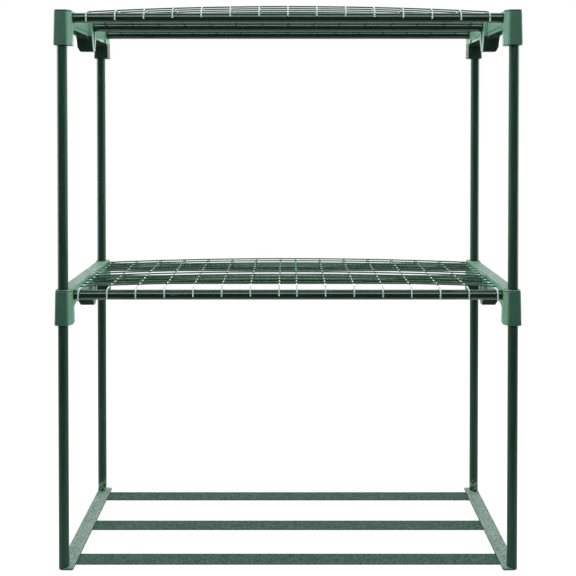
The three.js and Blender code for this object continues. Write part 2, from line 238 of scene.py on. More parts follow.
@dataclass
class Solid:
    """A closed shape in millimetres."""

    vertices: list[Vector]
    faces: list[list[int]]

    @classmethod
    def lofted(cls, rings: Sequence[Sequence[Vector]], looped: bool = False) -> "Solid":
        """Joins rings of equal length into a closed shape.

        Args:
            rings: The rings in order.
            looped: Whether the last ring joins the first, as on a hollow tube.

        Returns:
            The shape, with flat ends unless it is looped.
        """
        count = len(rings[0])
        vertices = [point for ring in rings for point in ring]
        faces: list[list[int]] = []
        for level in range(len(rings) if looped else len(rings) - 1):
            low, high = level * count, (level + 1) % len(rings) * count
            for i in range(count):
                j = (i + 1) % count
                faces.append([low + i, low + j, high + j, high + i])
        if not looped:
            faces.append(list(reversed(range(count))))
            faces.append([len(vertices) - count + i for i in range(count)])
        return cls(vertices, faces)

    @classmethod
    def drawn(
        cls, outline: Sequence[Point], along: Along, start: float, end: float, edge: float = 0.0
    ) -> "Solid":
        """Draws an anticlockwise outline out along an axis, with rounded end edges.

        Args:
            outline: The outline's points.
            along: The axis to draw along.
            start: Where the shape starts on the axis.
            end: Where it ends.
            edge: The radius of the edges round both ends.

        Returns:
            The closed shape.
        """
        levels = end_levels(start, end, edge) if edge > 0 else [(0.0, start), (0.0, end)]
        rings = [
            [along.place(a, b, distance) for a, b in drawn_in(outline, inset)]
            for inset, distance in levels
        ]
        return cls.lofted(rings)

    @classmethod
    def turned(
        cls, profile: Sequence[Point], along: Along, sides: int, looped: bool = False
    ) -> "Solid":
        """Turns a profile about an axis.

        Args:
            profile: Points as radius and distance along the axis, in order.
            along: The axis.
            sides: How many sides go round.
            looped: Whether the profile closes on itself, as a tube's wall does.

        Returns:
            The closed shape.
        """
        angles = [FULL_TURN * i / sides for i in range(sides)]
        rings = [
            [along.place(r * math.cos(a), r * math.sin(a), distance) for a in angles]
            for r, distance in profile
        ]
        return cls.lofted(rings, looped)

    def moved(self, x: float = 0.0, y: float = 0.0, z: float = 0.0) -> "Solid":
        """A copy of the shape, moved."""
        shift = Vector((x, y, z))
        return Solid([point + shift for point in self.vertices], self.faces)

    def rowed(self, places: Sequence[float], x: float = 0.0) -> list["Solid"]:
        """Copies of the shape at places from front to rear."""
        return [self.moved(x=x, y=y) for y in places]

    def front_to_rear(self) -> "Solid":
        """A copy mirrored from front to rear, with its faces turned to match."""
        vertices = [Vector((point.x, -point.y, point.z)) for point in self.vertices]
        return Solid(vertices, [list(reversed(face)) for face in self.faces])

    def mesh(self, name: str) -> bpy.types.Mesh:
        """Makes a mesh in metres whose faces point outwards.

        Args:
            name: The mesh's name.

        Returns:
            The mesh.
        """
        mesh = bpy.data.meshes.new(name)
        mesh.from_pydata([tuple(point * MM) for point in self.vertices], [], self.faces)
        shape = bmesh.new()
        shape.from_mesh(mesh)
        bmesh.ops.recalc_face_normals(shape, faces=shape.faces)
        shape.to_mesh(mesh)
        shape.free()
        return mesh


def put_in_scene(name: str, data: bpy.types.ID) -> bpy.types.Object:
    """Adds an object with its data to the scene.

    Args:
        name: The object's name.
        data: Its mesh, lamp or camera.

    Returns:
        The object.
    """
    thing = bpy.data.objects.new(name, data)
    bpy.context.scene.collection.objects.link(thing)
    return thing


def clear_away(things: Sequence[bpy.types.Object]) -> None:
    """Deletes helper objects with their meshes.

    Args:
        things: The objects.
    """
    for thing in things:
        mesh = thing.data
        bpy.data.objects.remove(thing)
        bpy.data.meshes.remove(mesh)


def combined(name: str, body: Solid, *batches: tuple[Work, Sequence[Solid]]) -> bpy.types.Mesh:
    """Joins shapes to one closed mesh or cuts them out of it, batch by batch.

    Args:
        name: The mesh's name.
        body: The shape to start from.
        *batches: What is done, and the shapes it is done with.

    Returns:
        The finished mesh in metres.
    """
    host = put_in_scene(name, body.mesh(name))
    tools: list[bpy.types.Object] = []
    for work, solid in ((work, solid) for work, solids in batches for solid in solids):
        tools.append(put_in_scene(f"{name}_tool", solid.mesh(f"{name}_tool")))
        modifier = host.modifiers.new(work.name.lower(), "BOOLEAN")
        modifier.operation = work.value
        modifier.solver = "MANIFOLD"
        modifier.object = tools[-1]
    result = baked(host, name)
    clear_away([host, *tools])
    return tidied(result)


def baked(thing: bpy.types.Object, name: str) -> bpy.types.Mesh:
    """Turns an object with its modifiers into a plain mesh.

    Args:
        thing: The object.
        name: The new mesh's name.

    Returns:
        The mesh that the modifiers make.
    """
    graph = bpy.context.evaluated_depsgraph_get()
    graph.update()
    mesh = bpy.data.meshes.new_from_object(thing.evaluated_get(graph), depsgraph=graph)
    mesh.name = name
    return mesh


def tidied(mesh: bpy.types.Mesh, smooth_angle: float = SMOOTH_ANGLE) -> bpy.types.Mesh:
    """Merges doubled points and sets which edges look sharp.

    Args:
        mesh: The mesh, changed in place.
        smooth_angle: Edges that turn less than this are shaded smooth.

    Returns:
        The same mesh.
    """
    shape = bmesh.new()
    shape.from_mesh(mesh)
    bmesh.ops.remove_doubles(shape, verts=shape.verts, dist=MERGE_DISTANCE)
    bmesh.ops.dissolve_degenerate(shape, edges=shape.edges, dist=MERGE_DISTANCE)
    for face in shape.faces:
        face.smooth = True
    for edge in shape.edges:
        edge.smooth = len(edge.link_faces) == 2 and edge.calc_face_angle(0.0) < smooth_angle
    shape.to_mesh(mesh)
    shape.free()
    return mesh


def add_piece(
    node: str,
    mesh: bpy.types.Mesh,
    material: bpy.types.Material,
    slot: Slot,
    body: Body = Body.FRAME,
) -> None:
    """Adds a finished piece in the place of a solid of the frame.

    Broad faces keep their own shading beside rounded edges, which thin wires don't need.

    Args:
        node: The solid that the piece stands for.
        mesh: The piece's mesh, already in place.
        material: Its finish.
        slot: The record's slot that its finish belongs to.
        body: The body that it moves with.
    """
    name = f"{node}_{slot.ending}"
    piece = put_in_scene(name, mesh)
    mesh.materials.clear()
    mesh.materials.append(material)
    if slot is not Slot.WIRE:
        modifier = piece.modifiers.new("broad faces", "WEIGHTED_NORMAL")
        modifier.keep_sharp = True
        modifier.weight = BROAD_FACE_WEIGHT
        piece.data = baked(piece, name)
        piece.modifiers.clear()
        bpy.data.meshes.remove(mesh)
    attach(piece, body.value)
    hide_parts(node)
    LOG.info("%s: %d faces, on %s", name, len(piece.data.polygons), body.value)


# Node trees


class Signal:
    """A node's output. Arithmetic on it adds Math nodes, and | takes the greater of two."""

    def __init__(self, board: "Board", socket: bpy.types.NodeSocket) -> None:
        """Keeps the output and the board that its node is on."""
        self.board = board
        self.socket = socket

    def __add__(self, other: object) -> "Signal":
        """The sum."""
        return self.board.math("ADD", self, other)

    def __sub__(self, other: object) -> "Signal":
        """The difference."""
        return self.board.math("SUBTRACT", self, other)

    def __rsub__(self, other: object) -> "Signal":
        """The difference from a plain number."""
        return self.board.math("SUBTRACT", other, self)

    def __mul__(self, other: object) -> "Signal":
        """The product."""
        return self.board.math("MULTIPLY", self, other)

    def __truediv__(self, other: object) -> "Signal":
        """The quotient."""
        return self.board.math("DIVIDE", self, other)

    def __or__(self, other: object) -> "Signal":
        """The greater of the two, which joins two masks."""
        return self.board.math("MAXIMUM", self, other)

    def __abs__(self) -> "Signal":
        """The value without its sign."""
        return self.board.math("ABSOLUTE", self)

    def sign(self) -> "Signal":
        """The value's sign."""
        return self.board.math("SIGN", self)

    def above(self, limit: object) -> "Signal":
        """A mask of where the value is above a limit."""
        return self.board.math("GREATER_THAN", self, limit)

    def below(self, limit: object) -> "Signal":
        """A mask of where the value is below a limit."""
        return self.board.math("LESS_THAN", self, limit)

    def clamped(self) -> "Signal":
        """The same output, kept from 0 to 1 by its Math node."""
        self.socket.node.use_clamp = True
        return self

    def ranged(
        self, low: float, high: float, to_low: float = 0.0, to_high: float = 1.0
    ) -> "Signal":
        """Maps the value from the range of low to high to another, clamped at both ends."""
        feeds = dict(enumerate((self, low, high, to_low, to_high)))
        return self.board.out("ShaderNodeMapRange", feeds)


class Board:
    """Adds nodes to one tree and joins their sockets."""

    def __init__(self, tree: bpy.types.NodeTree) -> None:
        """Keeps the tree that the nodes go into."""
        self.tree = tree

    def declare(
        self, name: str, kind: str, side: str = "INPUT", value: float | None = None
    ) -> None:
        """Gives the tree a named input or output.

        Args:
            name: The socket's name.
            kind: What it carries.
            side: INPUT or OUTPUT.
            value: Its value where nothing else is set.
        """
        sockets = self.tree.interface
        socket = sockets.new_socket(name=name, in_out=side, socket_type=f"NodeSocket{kind}")
        if value is not None:
            socket.default_value = value

    def add(self, kind: str, feeds: dict | None = None, **settings: object) -> bpy.types.Node:
        """Adds a node.

        Args:
            kind: The node's type.
            feeds: A value or a signal for each input, by name or number.
            **settings: The node's own settings.

        Returns:
            The node.
        """
        node = self.tree.nodes.new(kind)
        for key, value in settings.items():
            setattr(node, key, value)
        for key, value in (feeds or {}).items():
            self.feed(node.inputs[key], value)
        return node

    def out(
        self, kind: str, feeds: dict | None = None, output: str | int = 0, **settings: object
    ) -> Signal:
        """Adds a node as add does, and gives one of its outputs, by name or number."""
        return Signal(self, self.add(kind, feeds, **settings).outputs[output])

    def outs(self, node: bpy.types.Node) -> dict[str, Signal]:
        """A node's outputs by name."""
        return {socket.name: Signal(self, socket) for socket in node.outputs}

    def feed(self, target: bpy.types.NodeSocket, value: object) -> None:
        """Sets an input, or links a signal to it.

        Args:
            target: The input.
            value: A plain value or a signal.
        """
        if isinstance(value, Signal):
            self.tree.links.new(value.socket, target)
        else:
            target.default_value = value

    def math(self, operation: str, *values: object) -> Signal:
        """One step of arithmetic, by the Math node's name for it."""
        return self.out("ShaderNodeMath", dict(enumerate(values)), operation=operation)

    def split(self, vector: Signal) -> list[Signal]:
        """A vector's three coordinates."""
        node = self.add("ShaderNodeSeparateXYZ", {0: vector})
        return [Signal(self, socket) for socket in node.outputs]

    def vector(self, x: object = 0.0, y: object = 0.0, z: object = 0.0) -> Signal:
        """A vector from its three coordinates."""
        return self.out("ShaderNodeCombineXYZ", {0: x, 1: y, 2: z})

    def noise(
        self, vector: Signal, scale: object, detail: float = 2.0, roughness: float = 0.5
    ) -> Signal:
        """A noise pattern from about 0 to 1, with detail as its number of finer layers."""
        feeds = {"Vector": vector, "Scale": scale, "Detail": detail, "Roughness": roughness}
        return self.out("ShaderNodeTexNoise", feeds)

    def blended(self, amount: Signal, first: object, second: object) -> Signal:
        """Blends from the first colour to the second by a mask."""
        feeds = {0: amount, 6: first, 7: second}
        return self.out("ShaderNodeMix", feeds, output=2, data_type="RGBA")


class SurfaceEffect(Board):
    """A shader group that more than one finish uses."""

    title = "surface effect"
    inputs: dict[str, float | None] = {}
    outputs: tuple[str, ...] = ("Mask",)

    def __init__(self) -> None:
        """Builds the group, whose inputs without a value are vectors."""
        super().__init__(bpy.data.node_groups.new(self.title, "ShaderNodeTree"))
        for name, value in {"Vector": None, **self.inputs}.items():
            self.declare(name, "Vector" if value is None else "Float", value=value)
        for name in self.outputs:
            self.declare(name, "Float", "OUTPUT")
        self.given = self.outs(self.add("NodeGroupInput"))
        self.place = self.given["Vector"]
        self.add("NodeGroupOutput", self.results())

    def results(self) -> dict[str, Signal]:
        """Builds the nodes between the inputs and the outputs.

        Returns:
            The signal for each of the group's outputs, by name.
        """
        raise NotImplementedError

    def placed(self, board: Board, **feeds: object) -> dict[str, Signal]:
        """Places the group in a material, with a value or a signal for each input."""
        named = {name.replace("_", " ").capitalize(): value for name, value in feeds.items()}
        return board.outs(board.add("ShaderNodeGroup", named, node_tree=self.tree))


class FineGrain(SurfaceEffect):
    """The fine grain of a moulded or coated surface, with larger speckles in it."""

    title = "fine grain"
    inputs = {"Grain scale": 1400.0, "Speckle scale": 420.0, "Contrast": 1.0}
    outputs = ("Mask", "Height")

    def results(self) -> dict[str, Signal]:
        """Builds the grain from two noises of different size.

        Returns:
            The speckles as a mask and the grain as a height.
        """
        scale = self.given["Speckle scale"]
        speckle = self.noise(self.place, scale, detail=3.0, roughness=0.7) - NOISE_MEAN
        mask = (speckle * self.given["Contrast"] + NOISE_MEAN).clamped()
        grain = self.noise(self.place, self.given["Grain scale"], roughness=0.6)
        return {"Mask": mask, "Height": grain}


class EdgeWear(SurfaceEffect):
    """A mask of the rubbed outer edges, broken up by a noise."""

    title = "edge wear"
    inputs = {"Width": 0.0008, "Patch scale": 160.0}
    turn_span: Span = (0.995, 0.8)
    patch_span: Span = (0.3, 0.7, 0.35, 1.0)

    def results(self) -> dict[str, Signal]:
        """Compares the surface with its rounded version.

        Returns:
            The mask.
        """
        soft = self.out("ShaderNodeBevel", {"Radius": self.given["Width"]}, samples=4)
        true = self.out("ShaderNodeNewGeometry", output="Normal")
        feeds = {0: soft, 1: true}
        alike = self.out("ShaderNodeVectorMath", feeds, "Value", operation="DOT_PRODUCT")
        patch = self.noise(self.place, self.given["Patch scale"]).ranged(*self.patch_span)
        return {"Mask": (alike.ranged(*self.turn_span) * patch).clamped()}


class SettledDust(SurfaceEffect):
    """A mask of upper faces in patches, partly dust and partly a painted sheen from above."""

    # Its mask paints a sheen of the light from above on the upper faces, as well as dust.
    title = "settled dust"
    inputs = {"Patch scale": 60.0, "Amount": 0.5}
    up_span: Span = (0.75, 0.98)
    patch_span: Span = (0.3, 0.7, 0.55, 1.0)

    def results(self) -> dict[str, Signal]:
        """Multiplies how far a face looks up by a patchy noise.

        Returns:
            The mask.
        """
        up = self.split(self.out("ShaderNodeNewGeometry", output="Normal"))[2]
        patch = self.noise(self.place, self.given["Patch scale"], detail=4.0, roughness=0.6)
        whole = up.ranged(*self.up_span) * patch.ranged(*self.patch_span)
        return {"Mask": (whole * self.given["Amount"]).clamped()}


class Streaks(SurfaceEffect):
    """A mask of fine streaks that run along a piece."""

    title = "streaks"
    inputs = {"Stretch": None, "Scale": 300.0}

    def results(self) -> dict[str, Signal]:
        """Reads a noise in stretched coordinates.

        Returns:
            The mask.
        """
        feeds = {0: self.place, 1: self.given["Stretch"]}
        stretched = self.out("ShaderNodeVectorMath", feeds, operation="MULTIPLY")
        return {"Mask": self.noise(stretched, self.given["Scale"], detail=3.0, roughness=0.6)}


class Weathering(SurfaceEffect):
    """Masks of painted light on inward faces and of painted shade under and beside the rails."""

    # The group paints light on faces that look to the rack's middle and shade under and beside the
    # rails.
    title = "weathering"
    inputs = {
        "Sheltered reach": 0.127,
        "Rear reach": 0.118,
        "Block reach": 0.122,
        "Lower top": 0.537,
        "Upper top": 1.07,
        "Rail height": 0.0335,
        "Base height": 0.01,
        "Groove drop": 0.0026,
    }
    outputs = ("Bleached", "Sheltered")
    facing_span: Span = (0.1, 0.8)
    square_on_span: Span = (0.8, 0.95)
    crosswise_span: Span = (0.5, 0.85, 1.0, 0.0)
    groove_span: Span = (0.0005, 0.0009, 0.6, 0.0)
    rear_share: float = 0.8

    def results(self) -> dict[str, Signal]:
        """Compares where a face looks with where it lies on the rack.

        Returns:
            A mask of painted light on the rails' faces that look to the rack's middle, and a mask
            of painted shade on the faces under a rail between its end sockets, in the grooves round
            the end sockets and on the base rails' inner sides.
        """
        given = self.given
        look_x, _, look_z = self.split(self.out("ShaderNodeNewGeometry", output="Normal"))
        x, y, z = self.split(self.place)
        inward = look_x * (x.sign() * -1.0)
        facing = inward.ranged(*self.facing_span)
        upright = abs(look_z).ranged(*self.crosswise_span)
        lengthwise = abs(look_x).ranged(*self.crosswise_span)
        along = lengthwise * abs(y).below(given["Sheltered reach"])
        on_upper = z.above(given["Lower top"] + given["Base height"])
        top = on_upper * (given["Upper top"] - given["Lower top"]) + given["Lower top"]
        drop = top - z
        below = drop.above(given["Rail height"])
        base = z.below(given["Base height"])
        beside = along * (1.0 - below) * upright
        rear_side = facing * y.above(given["Rear reach"]) * below * self.rear_share
        inner_side = inward.ranged(*self.square_on_span) * base
        groove = abs(drop - given["Groove drop"]).ranged(*self.groove_span)
        groove = groove * abs(y).above(given["Block reach"]) * upright
        # Painted shade: under the rails, on the rear sockets' inward faces, in grooves, on the base
        # rails' inner sides.
        sheltered = along * below | inner_side | rear_side | groove
        # Painted light on the faces that look to the rack's middle and on the rails' inner faces.
        return {"Bleached": (facing | beside) * (1.0 - base), "Sheltered": sheltered}


@dataclass
class Effects:
    """The shader groups that the finishes share."""

    grain: FineGrain = field(default_factory=FineGrain)
    wear: EdgeWear = field(default_factory=EdgeWear)
    dust: SettledDust = field(default_factory=SettledDust)
    streaks: Streaks = field(default_factory=Streaks)
    weathering: Weathering = field(default_factory=Weathering)


# Finishes


def shade(red: int, green: int, blue: int) -> Colour:
    """A display colour as a shader colour, by the standard display curve.

    Args:
        red: Red, from 0 to 255.
        green: Green, from 0 to 255.
        blue: Blue, from 0 to 255.

    Returns:
        The linear colour.
    """
    knee, slope, offset, power = 0.04045, 12.92, 0.055, 2.4
    shares = (value / 255 for value in (red, green, blue))
    linear = (s / slope if s <= knee else ((s + offset) / (1 + offset)) ** power for s in shares)
    return (*linear, 1.0)


class Paint(Board):
    """A material in the making, with its shader and the shared effects."""

    def __init__(self, name: str, effects: Effects) -> None:
        """Starts the material.

        Args:
            name: The material's name.
            effects: The shared shader groups.
        """
        self.material = bpy.data.materials.new(name)
        self.material.use_nodes = True
        super().__init__(self.material.node_tree)
        self.shader = self.tree.nodes["Principled BSDF"]
        self.place = self.out("ShaderNodeTexCoord", output="Object")
        self.effects = effects

    def effect(self, name: str, **feeds: object) -> dict[str, Signal]:
        """Places one of the shared effects, read in the piece's own coordinates."""
        return getattr(self.effects, name).placed(self, vector=self.place, **feeds)

    def bump(self, height: Signal, strength: float, depth: float) -> Signal:
        """A normal from a height, with its depth in metres."""
        feeds = {"Strength": strength, "Distance": depth, "Height": height}
        return self.out("ShaderNodeBump", feeds)

    def grained(
        self,
        mask: Signal,
        roughness: float,
        less: float = 0.06,
        more: float = 0.1,
        span: Span = (0.2, 0.8),
    ) -> Signal:
        """A roughness that goes from less to more than a given one over a span of a mask."""
        return mask.ranged(*span, roughness - less, roughness + more)


class Finish:
    """A finish, which builds its own material."""

    name: str

    def build(self, effects: Effects) -> bpy.types.Material:
        """Builds the material.

        Args:
            effects: The shared shader groups.

        Returns:
            The material.
        """
        paint = Paint(self.name, effects)
        for name, value in self.shown(paint).items():
            paint.feed(paint.shader.inputs[name], value)
        return paint.material

    def shown(self, paint: Paint) -> dict[str, object]:
        """Builds what the shader shows.

        Args:
            paint: The material in the making.

        Returns:
            A value or a signal for each of the shader's inputs that is used.
        """
        raise NotImplementedError


@dataclass(frozen=True)
class MouldedFinish(Finish):
    """Satin moulded plastic with a fine grain, paler on its edges and its upper faces."""

    name: str = "moulded plastic"
    colour: Colour = shade(66, 106, 87)
    shade_colour: Colour = shade(52, 88, 71)
    # Painted light on faces that look to the rack's middle, and painted shade in the rack's shaded
    # places.
    bleached_colour: Colour = shade(112, 158, 134)
    sheltered_colour: Colour = shade(30, 50, 40)
    sheltered_share: float = 0.92
    # The pale edge colour is partly wear and partly a painted highlight on the rounded edges.
    edge_colour: Colour = shade(130, 172, 150)
    edge_share: float = 0.55
    # A pale grey over the upper faces, partly dust and partly a painted sheen of the light from
    # above.
    dust_colour: Colour = shade(140, 162, 151)
    dust_amount: float = 0.85
    dust_scale: float = 45.0
    dust_span: Span = (0.25, 0.6, 0.2, 1.0)
    pale_span: Span = (0.1, 0.7, 0.7, 1.0)
    wear_width: float = 0.0009
    wear_scale: float = 150.0
    drift_scale: float = 22.0
    drift_span: Span = (0.35, 0.65)
    drift_share: float = 0.5
    speckle_scale: float = 360.0
    contrast: float = 1.8
    grain_strength: float = 0.35
    grain_depth: float = 0.00008
    roughness: float = 0.45
    gloss: float = 0.15

    def shown(self, paint: Paint) -> dict[str, object]:
        """Lays painted light and shade, dust with a painted sheen, and wear over the grained
        colour.

        Args:
            paint: The material in the making.

        Returns:
            A value or a signal for each of the shader's inputs that is used.
        """
        grain = paint.effect("grain", speckle_scale=self.speckle_scale, contrast=self.contrast)
        speckles = grain["Mask"]
        drift = paint.noise(paint.place, self.drift_scale).ranged(*self.drift_span)
        tint = (drift * self.drift_share + speckles * (1 - self.drift_share)).clamped()
        # Painted light and painted shade, by where a face looks and where it lies on the rack.
        weathering = paint.effect("weathering")
        pale = weathering["Bleached"] * speckles.ranged(*self.pale_span)
        deep = weathering["Sheltered"] * self.sheltered_share
        # Dust with a painted sheen of the light from above, on the upper faces.
        dust = paint.effect("dust", patch_scale=self.dust_scale, amount=self.dust_amount)["Mask"]
        settled = dust * speckles.ranged(*self.dust_span)
        # Worn edges, which also carry a painted highlight.
        worn = paint.effect("wear", width=self.wear_width, patch_scale=self.wear_scale)["Mask"]
        colour = paint.blended(tint, self.shade_colour, self.colour)
        for mask, over in (
            (pale, self.bleached_colour),
            (deep, self.sheltered_colour),
            (settled, self.dust_colour),
            (worn * self.edge_share, self.edge_colour),
        ):
            colour = paint.blended(mask, colour, over)
        return {
            "Base Color": colour,
            "Roughness": paint.grained(speckles, self.roughness) | dust,
            "Normal": paint.bump(grain["Height"], self.grain_strength, self.grain_depth),
            "Specular IOR Level": self.gloss,
        }


@dataclass(frozen=True)
class TubeFinish(Finish):
    """A glossy, very dark coating on a steel tube, with faint streaks along it."""

    name: str
    along: Along
    colour: Colour = shade(29, 51, 41)
    streak_colour: Colour = shade(43, 70, 57)
    scuff_colour: Colour = shade(128, 164, 144)
    gloss_tint: Colour = (0.45, 1.0, 0.7, 1.0)
    roughness: float = 0.34
    dull_outline: float = 0.75
    gloss: float = 0.2
    stretch: float = 0.035
    streak_scale: float = 420.0
    streak_span: Span = (0.4, 0.75, 0.0, 0.7)
    scratch_stretch: float = 4.0
    scratch_scale: float = 150.0
    scratch_span: Span = (0.62, 0.7, 0.0, 0.8)
    scratch_roughness: float = 0.2
    patch_scale: float = 14.0
    patch_span: Span = (0.6, 0.75)
    foot_span: Span = (0.016, 0.034, 1.0, 0.0)
    vein_scale: float = 100.0
    vein_span: Span = (0.016, 0.04, 1.0, 0.0)
    outline_span: Span = (0.6, 0.85)
    grain_scale: float = 900.0
    grain_strength: float = 0.2
    grain_depth: float = 0.00005

    def shown(self, paint: Paint) -> dict[str, object]:
        """Lays scuffs over the streaked colour, and dulls the tube's outline.

        Args:
            paint: The material in the making.

        Returns:
            A value or a signal for each of the shader's inputs that is used.
        """
        fine = tuple(self.stretch if axis is self.along else 1.0 for axis in Along)
        coarse = tuple(self.scratch_stretch * share for share in fine)
        streak = paint.effect("streaks", stretch=fine, scale=self.streak_scale)["Mask"]
        scratch = paint.effect("streaks", stretch=coarse, scale=self.scratch_scale)["Mask"]
        faint = streak.ranged(*self.streak_span)
        body = paint.blended(faint, self.colour, self.streak_colour)
        rubbed = paint.noise(paint.place, self.patch_scale, detail=3.0).ranged(*self.patch_span)
        scuff = scratch.ranged(*self.scratch_span) * rubbed | self.rear_foot_scratches(paint)
        outline = paint.out("ShaderNodeLayerWeight", output="Facing")
        rough = paint.grained(streak, self.roughness, less=0.05, more=0.08, span=(0.3, 0.7))
        rough = rough | outline.ranged(*self.outline_span, 0.0, self.dull_outline)
        grain = paint.effect("grain", grain_scale=self.grain_scale)["Height"]
        return {
            "Base Color": paint.blended(scuff, body, self.scuff_colour),
            "Roughness": rough + scuff * self.scratch_roughness,
            "Normal": paint.bump(grain, self.grain_strength, self.grain_depth),
            "Specular IOR Level": self.gloss,
            "Specular Tint": self.gloss_tint,
        }

    def rear_foot_scratches(self, paint: Paint) -> Signal:
        """Masks the pale scratches low on the rear legs.

        Args:
            paint: The material in the making.

        Returns:
            The mask.
        """
        _, y, z = paint.split(paint.place)
        veins = abs(paint.noise(paint.place, self.vein_scale) - NOISE_MEAN)
        return z.ranged(*self.foot_span) * y.above(0.0) * veins.ranged(*self.vein_span)


@dataclass(frozen=True)
class WireFinish(Finish):
    """A glossy coating on steel wire, pale on the cross wires and darker on the long ones: painted
    light.
    """

    name: str = "coated wire"
    # The pale cross-wire colours and the darker long-wire colour are painted highlight and painted
    # shade on one coating.
    colour: Colour = shade(186, 216, 201)
    thin_colour: Colour = shade(142, 184, 162)
    long_colour: Colour = shade(44, 80, 62)
    gloss_tint: Colour = (0.55, 1.0, 0.76, 1.0)
    roughness: float = 0.28
    gloss: float = 0.3
    cross_coat: float = 0.6
    coat_roughness: float = 0.1
    thin_scale: float = 40.0
    thin_span: Span = (0.45, 0.7, 0.0, 0.6)
    speckle_scale: float = 220.0
    speckle_share: float = 0.2
    contrast: float = 2.0
    grain_strength: float = 0.2
    grain_depth: float = 0.00005

    def shown(self, paint: Paint) -> dict[str, object]:
        """Paints the cross wires pale as a highlight and the long ones darker as shade, by their
        attribute.

        Args:
            paint: The material in the making.

        Returns:
            A value or a signal for each of the shader's inputs that is used.
        """
        grain = paint.effect("grain", speckle_scale=self.speckle_scale, contrast=self.contrast)
        thin = paint.noise(paint.place, self.thin_scale, detail=3.0).ranged(*self.thin_span)
        tint = (thin + grain["Mask"] * self.speckle_share).clamped()
        # Painted highlight on the cross wires.
        cross = paint.blended(tint, self.colour, self.thin_colour)
        crossing = paint.out("ShaderNodeAttribute", output="Fac", attribute_name=CROSS_WIRE)
        return {
            "Base Color": paint.blended(crossing, self.long_colour, cross),
            "Roughness": paint.grained(grain["Mask"], self.roughness),
            "Normal": paint.bump(grain["Height"], self.grain_strength, self.grain_depth),
            "Coat Weight": crossing.ranged(0.0, 1.0, 0.0, self.cross_coat),
            "Coat Roughness": self.coat_roughness,
            "Specular IOR Level": self.gloss,
            "Specular Tint": self.gloss_tint,
        }


@dataclass(frozen=True)
class FlatFinish(Finish):
    """A satin coating on steel strip, with a clear grain."""

    name: str = "coated strip"
    colour: Colour = shade(63, 91, 79)
    pit_colour: Colour = shade(29, 48, 40)
    edge_colour: Colour = shade(68, 97, 85)
    edge_share: float = 0.5
    wear_width: float = 0.0006
    wear_scale: float = 120.0
    grain_scale: float = 900.0
    speckle_scale: float = 300.0
    contrast: float = 3.2
    grain_strength: float = 0.4
    grain_depth: float = 0.0001
    roughness: float = 0.75
    gloss: float = 0.1

    def shown(self, paint: Paint) -> dict[str, object]:
        """Lays edge wear over the pitted colour.

        Args:
            paint: The material in the making.

        Returns:
            A value or a signal for each of the shader's inputs that is used.
        """
        scales = {"grain_scale": self.grain_scale, "speckle_scale": self.speckle_scale}
        grain = paint.effect("grain", contrast=self.contrast, **scales)
        worn = paint.effect("wear", width=self.wear_width, patch_scale=self.wear_scale)["Mask"]
        body = paint.blended(grain["Mask"], self.pit_colour, self.colour)
        return {
            "Base Color": paint.blended(worn * self.edge_share, body, self.edge_colour),
            "Roughness": paint.grained(grain["Mask"], self.roughness, less=-0.08, more=-0.04),
            "Normal": paint.bump(grain["Height"], self.grain_strength, self.grain_depth),
            "Specular IOR Level": self.gloss,
        }


@dataclass
class Finishes:
    """The built materials."""

    moulded: bpy.types.Material
    upright_tube: bpy.types.Material
    level_tube: bpy.types.Material
    wire: bpy.types.Material
    flat: bpy.types.Material

    @classmethod
    def built(cls) -> "Finishes":
        """Builds every finish with the shared effects.

        Returns:
            The materials.
        """
        # The level tubes take a darker copy of the tube colour as painted shade, besides their own
        # gloss.
        level_tube = TubeFinish(
            "level tube coating",
            Along.X,
            colour=shade(21, 36, 28),
            streak_colour=shade(31, 49, 40),
            gloss_tint=(0.66, 1.0, 0.82, 1.0),
            roughness=0.09,
            gloss=0.58,
        )
        upright_tube = TubeFinish("upright tube coating", Along.Z)
        finishes = (MouldedFinish(), upright_tube, level_tube, WireFinish(), FlatFinish())
        effects = Effects()
        return cls(*(finish.build(effects) for finish in finishes))


# The rack's sub-assemblies


@dataclass(frozen=True)
class Layout:
    """Sizes that more than one sub-assembly follows."""

    leg_x: float = 431.0
    leg_y: float = 134.0
    tops: dict[Tier, float] = field(
        default_factory=lambda: {Tier.LOWER: 537.0, Tier.UPPER: 1070.0}
    )
    tube_radius: float = 9.5
    tube_wall: float = 1.0
    fit_gap: float = 0.3
    bar_drop: float = 13.0
    bar_inset: float = 10.0
    bar_seat: float = 11.3
    overrun: float = 2.0

    @property
    def bar_y(self) -> float:
        """How far the outer bars' axes are from the middle."""
        return self.leg_y - self.bar_inset

    @property
    def bore_radius(self) -> float:
        """Radius of the holes that tubes push into."""
        return self.tube_radius + self.fit_gap


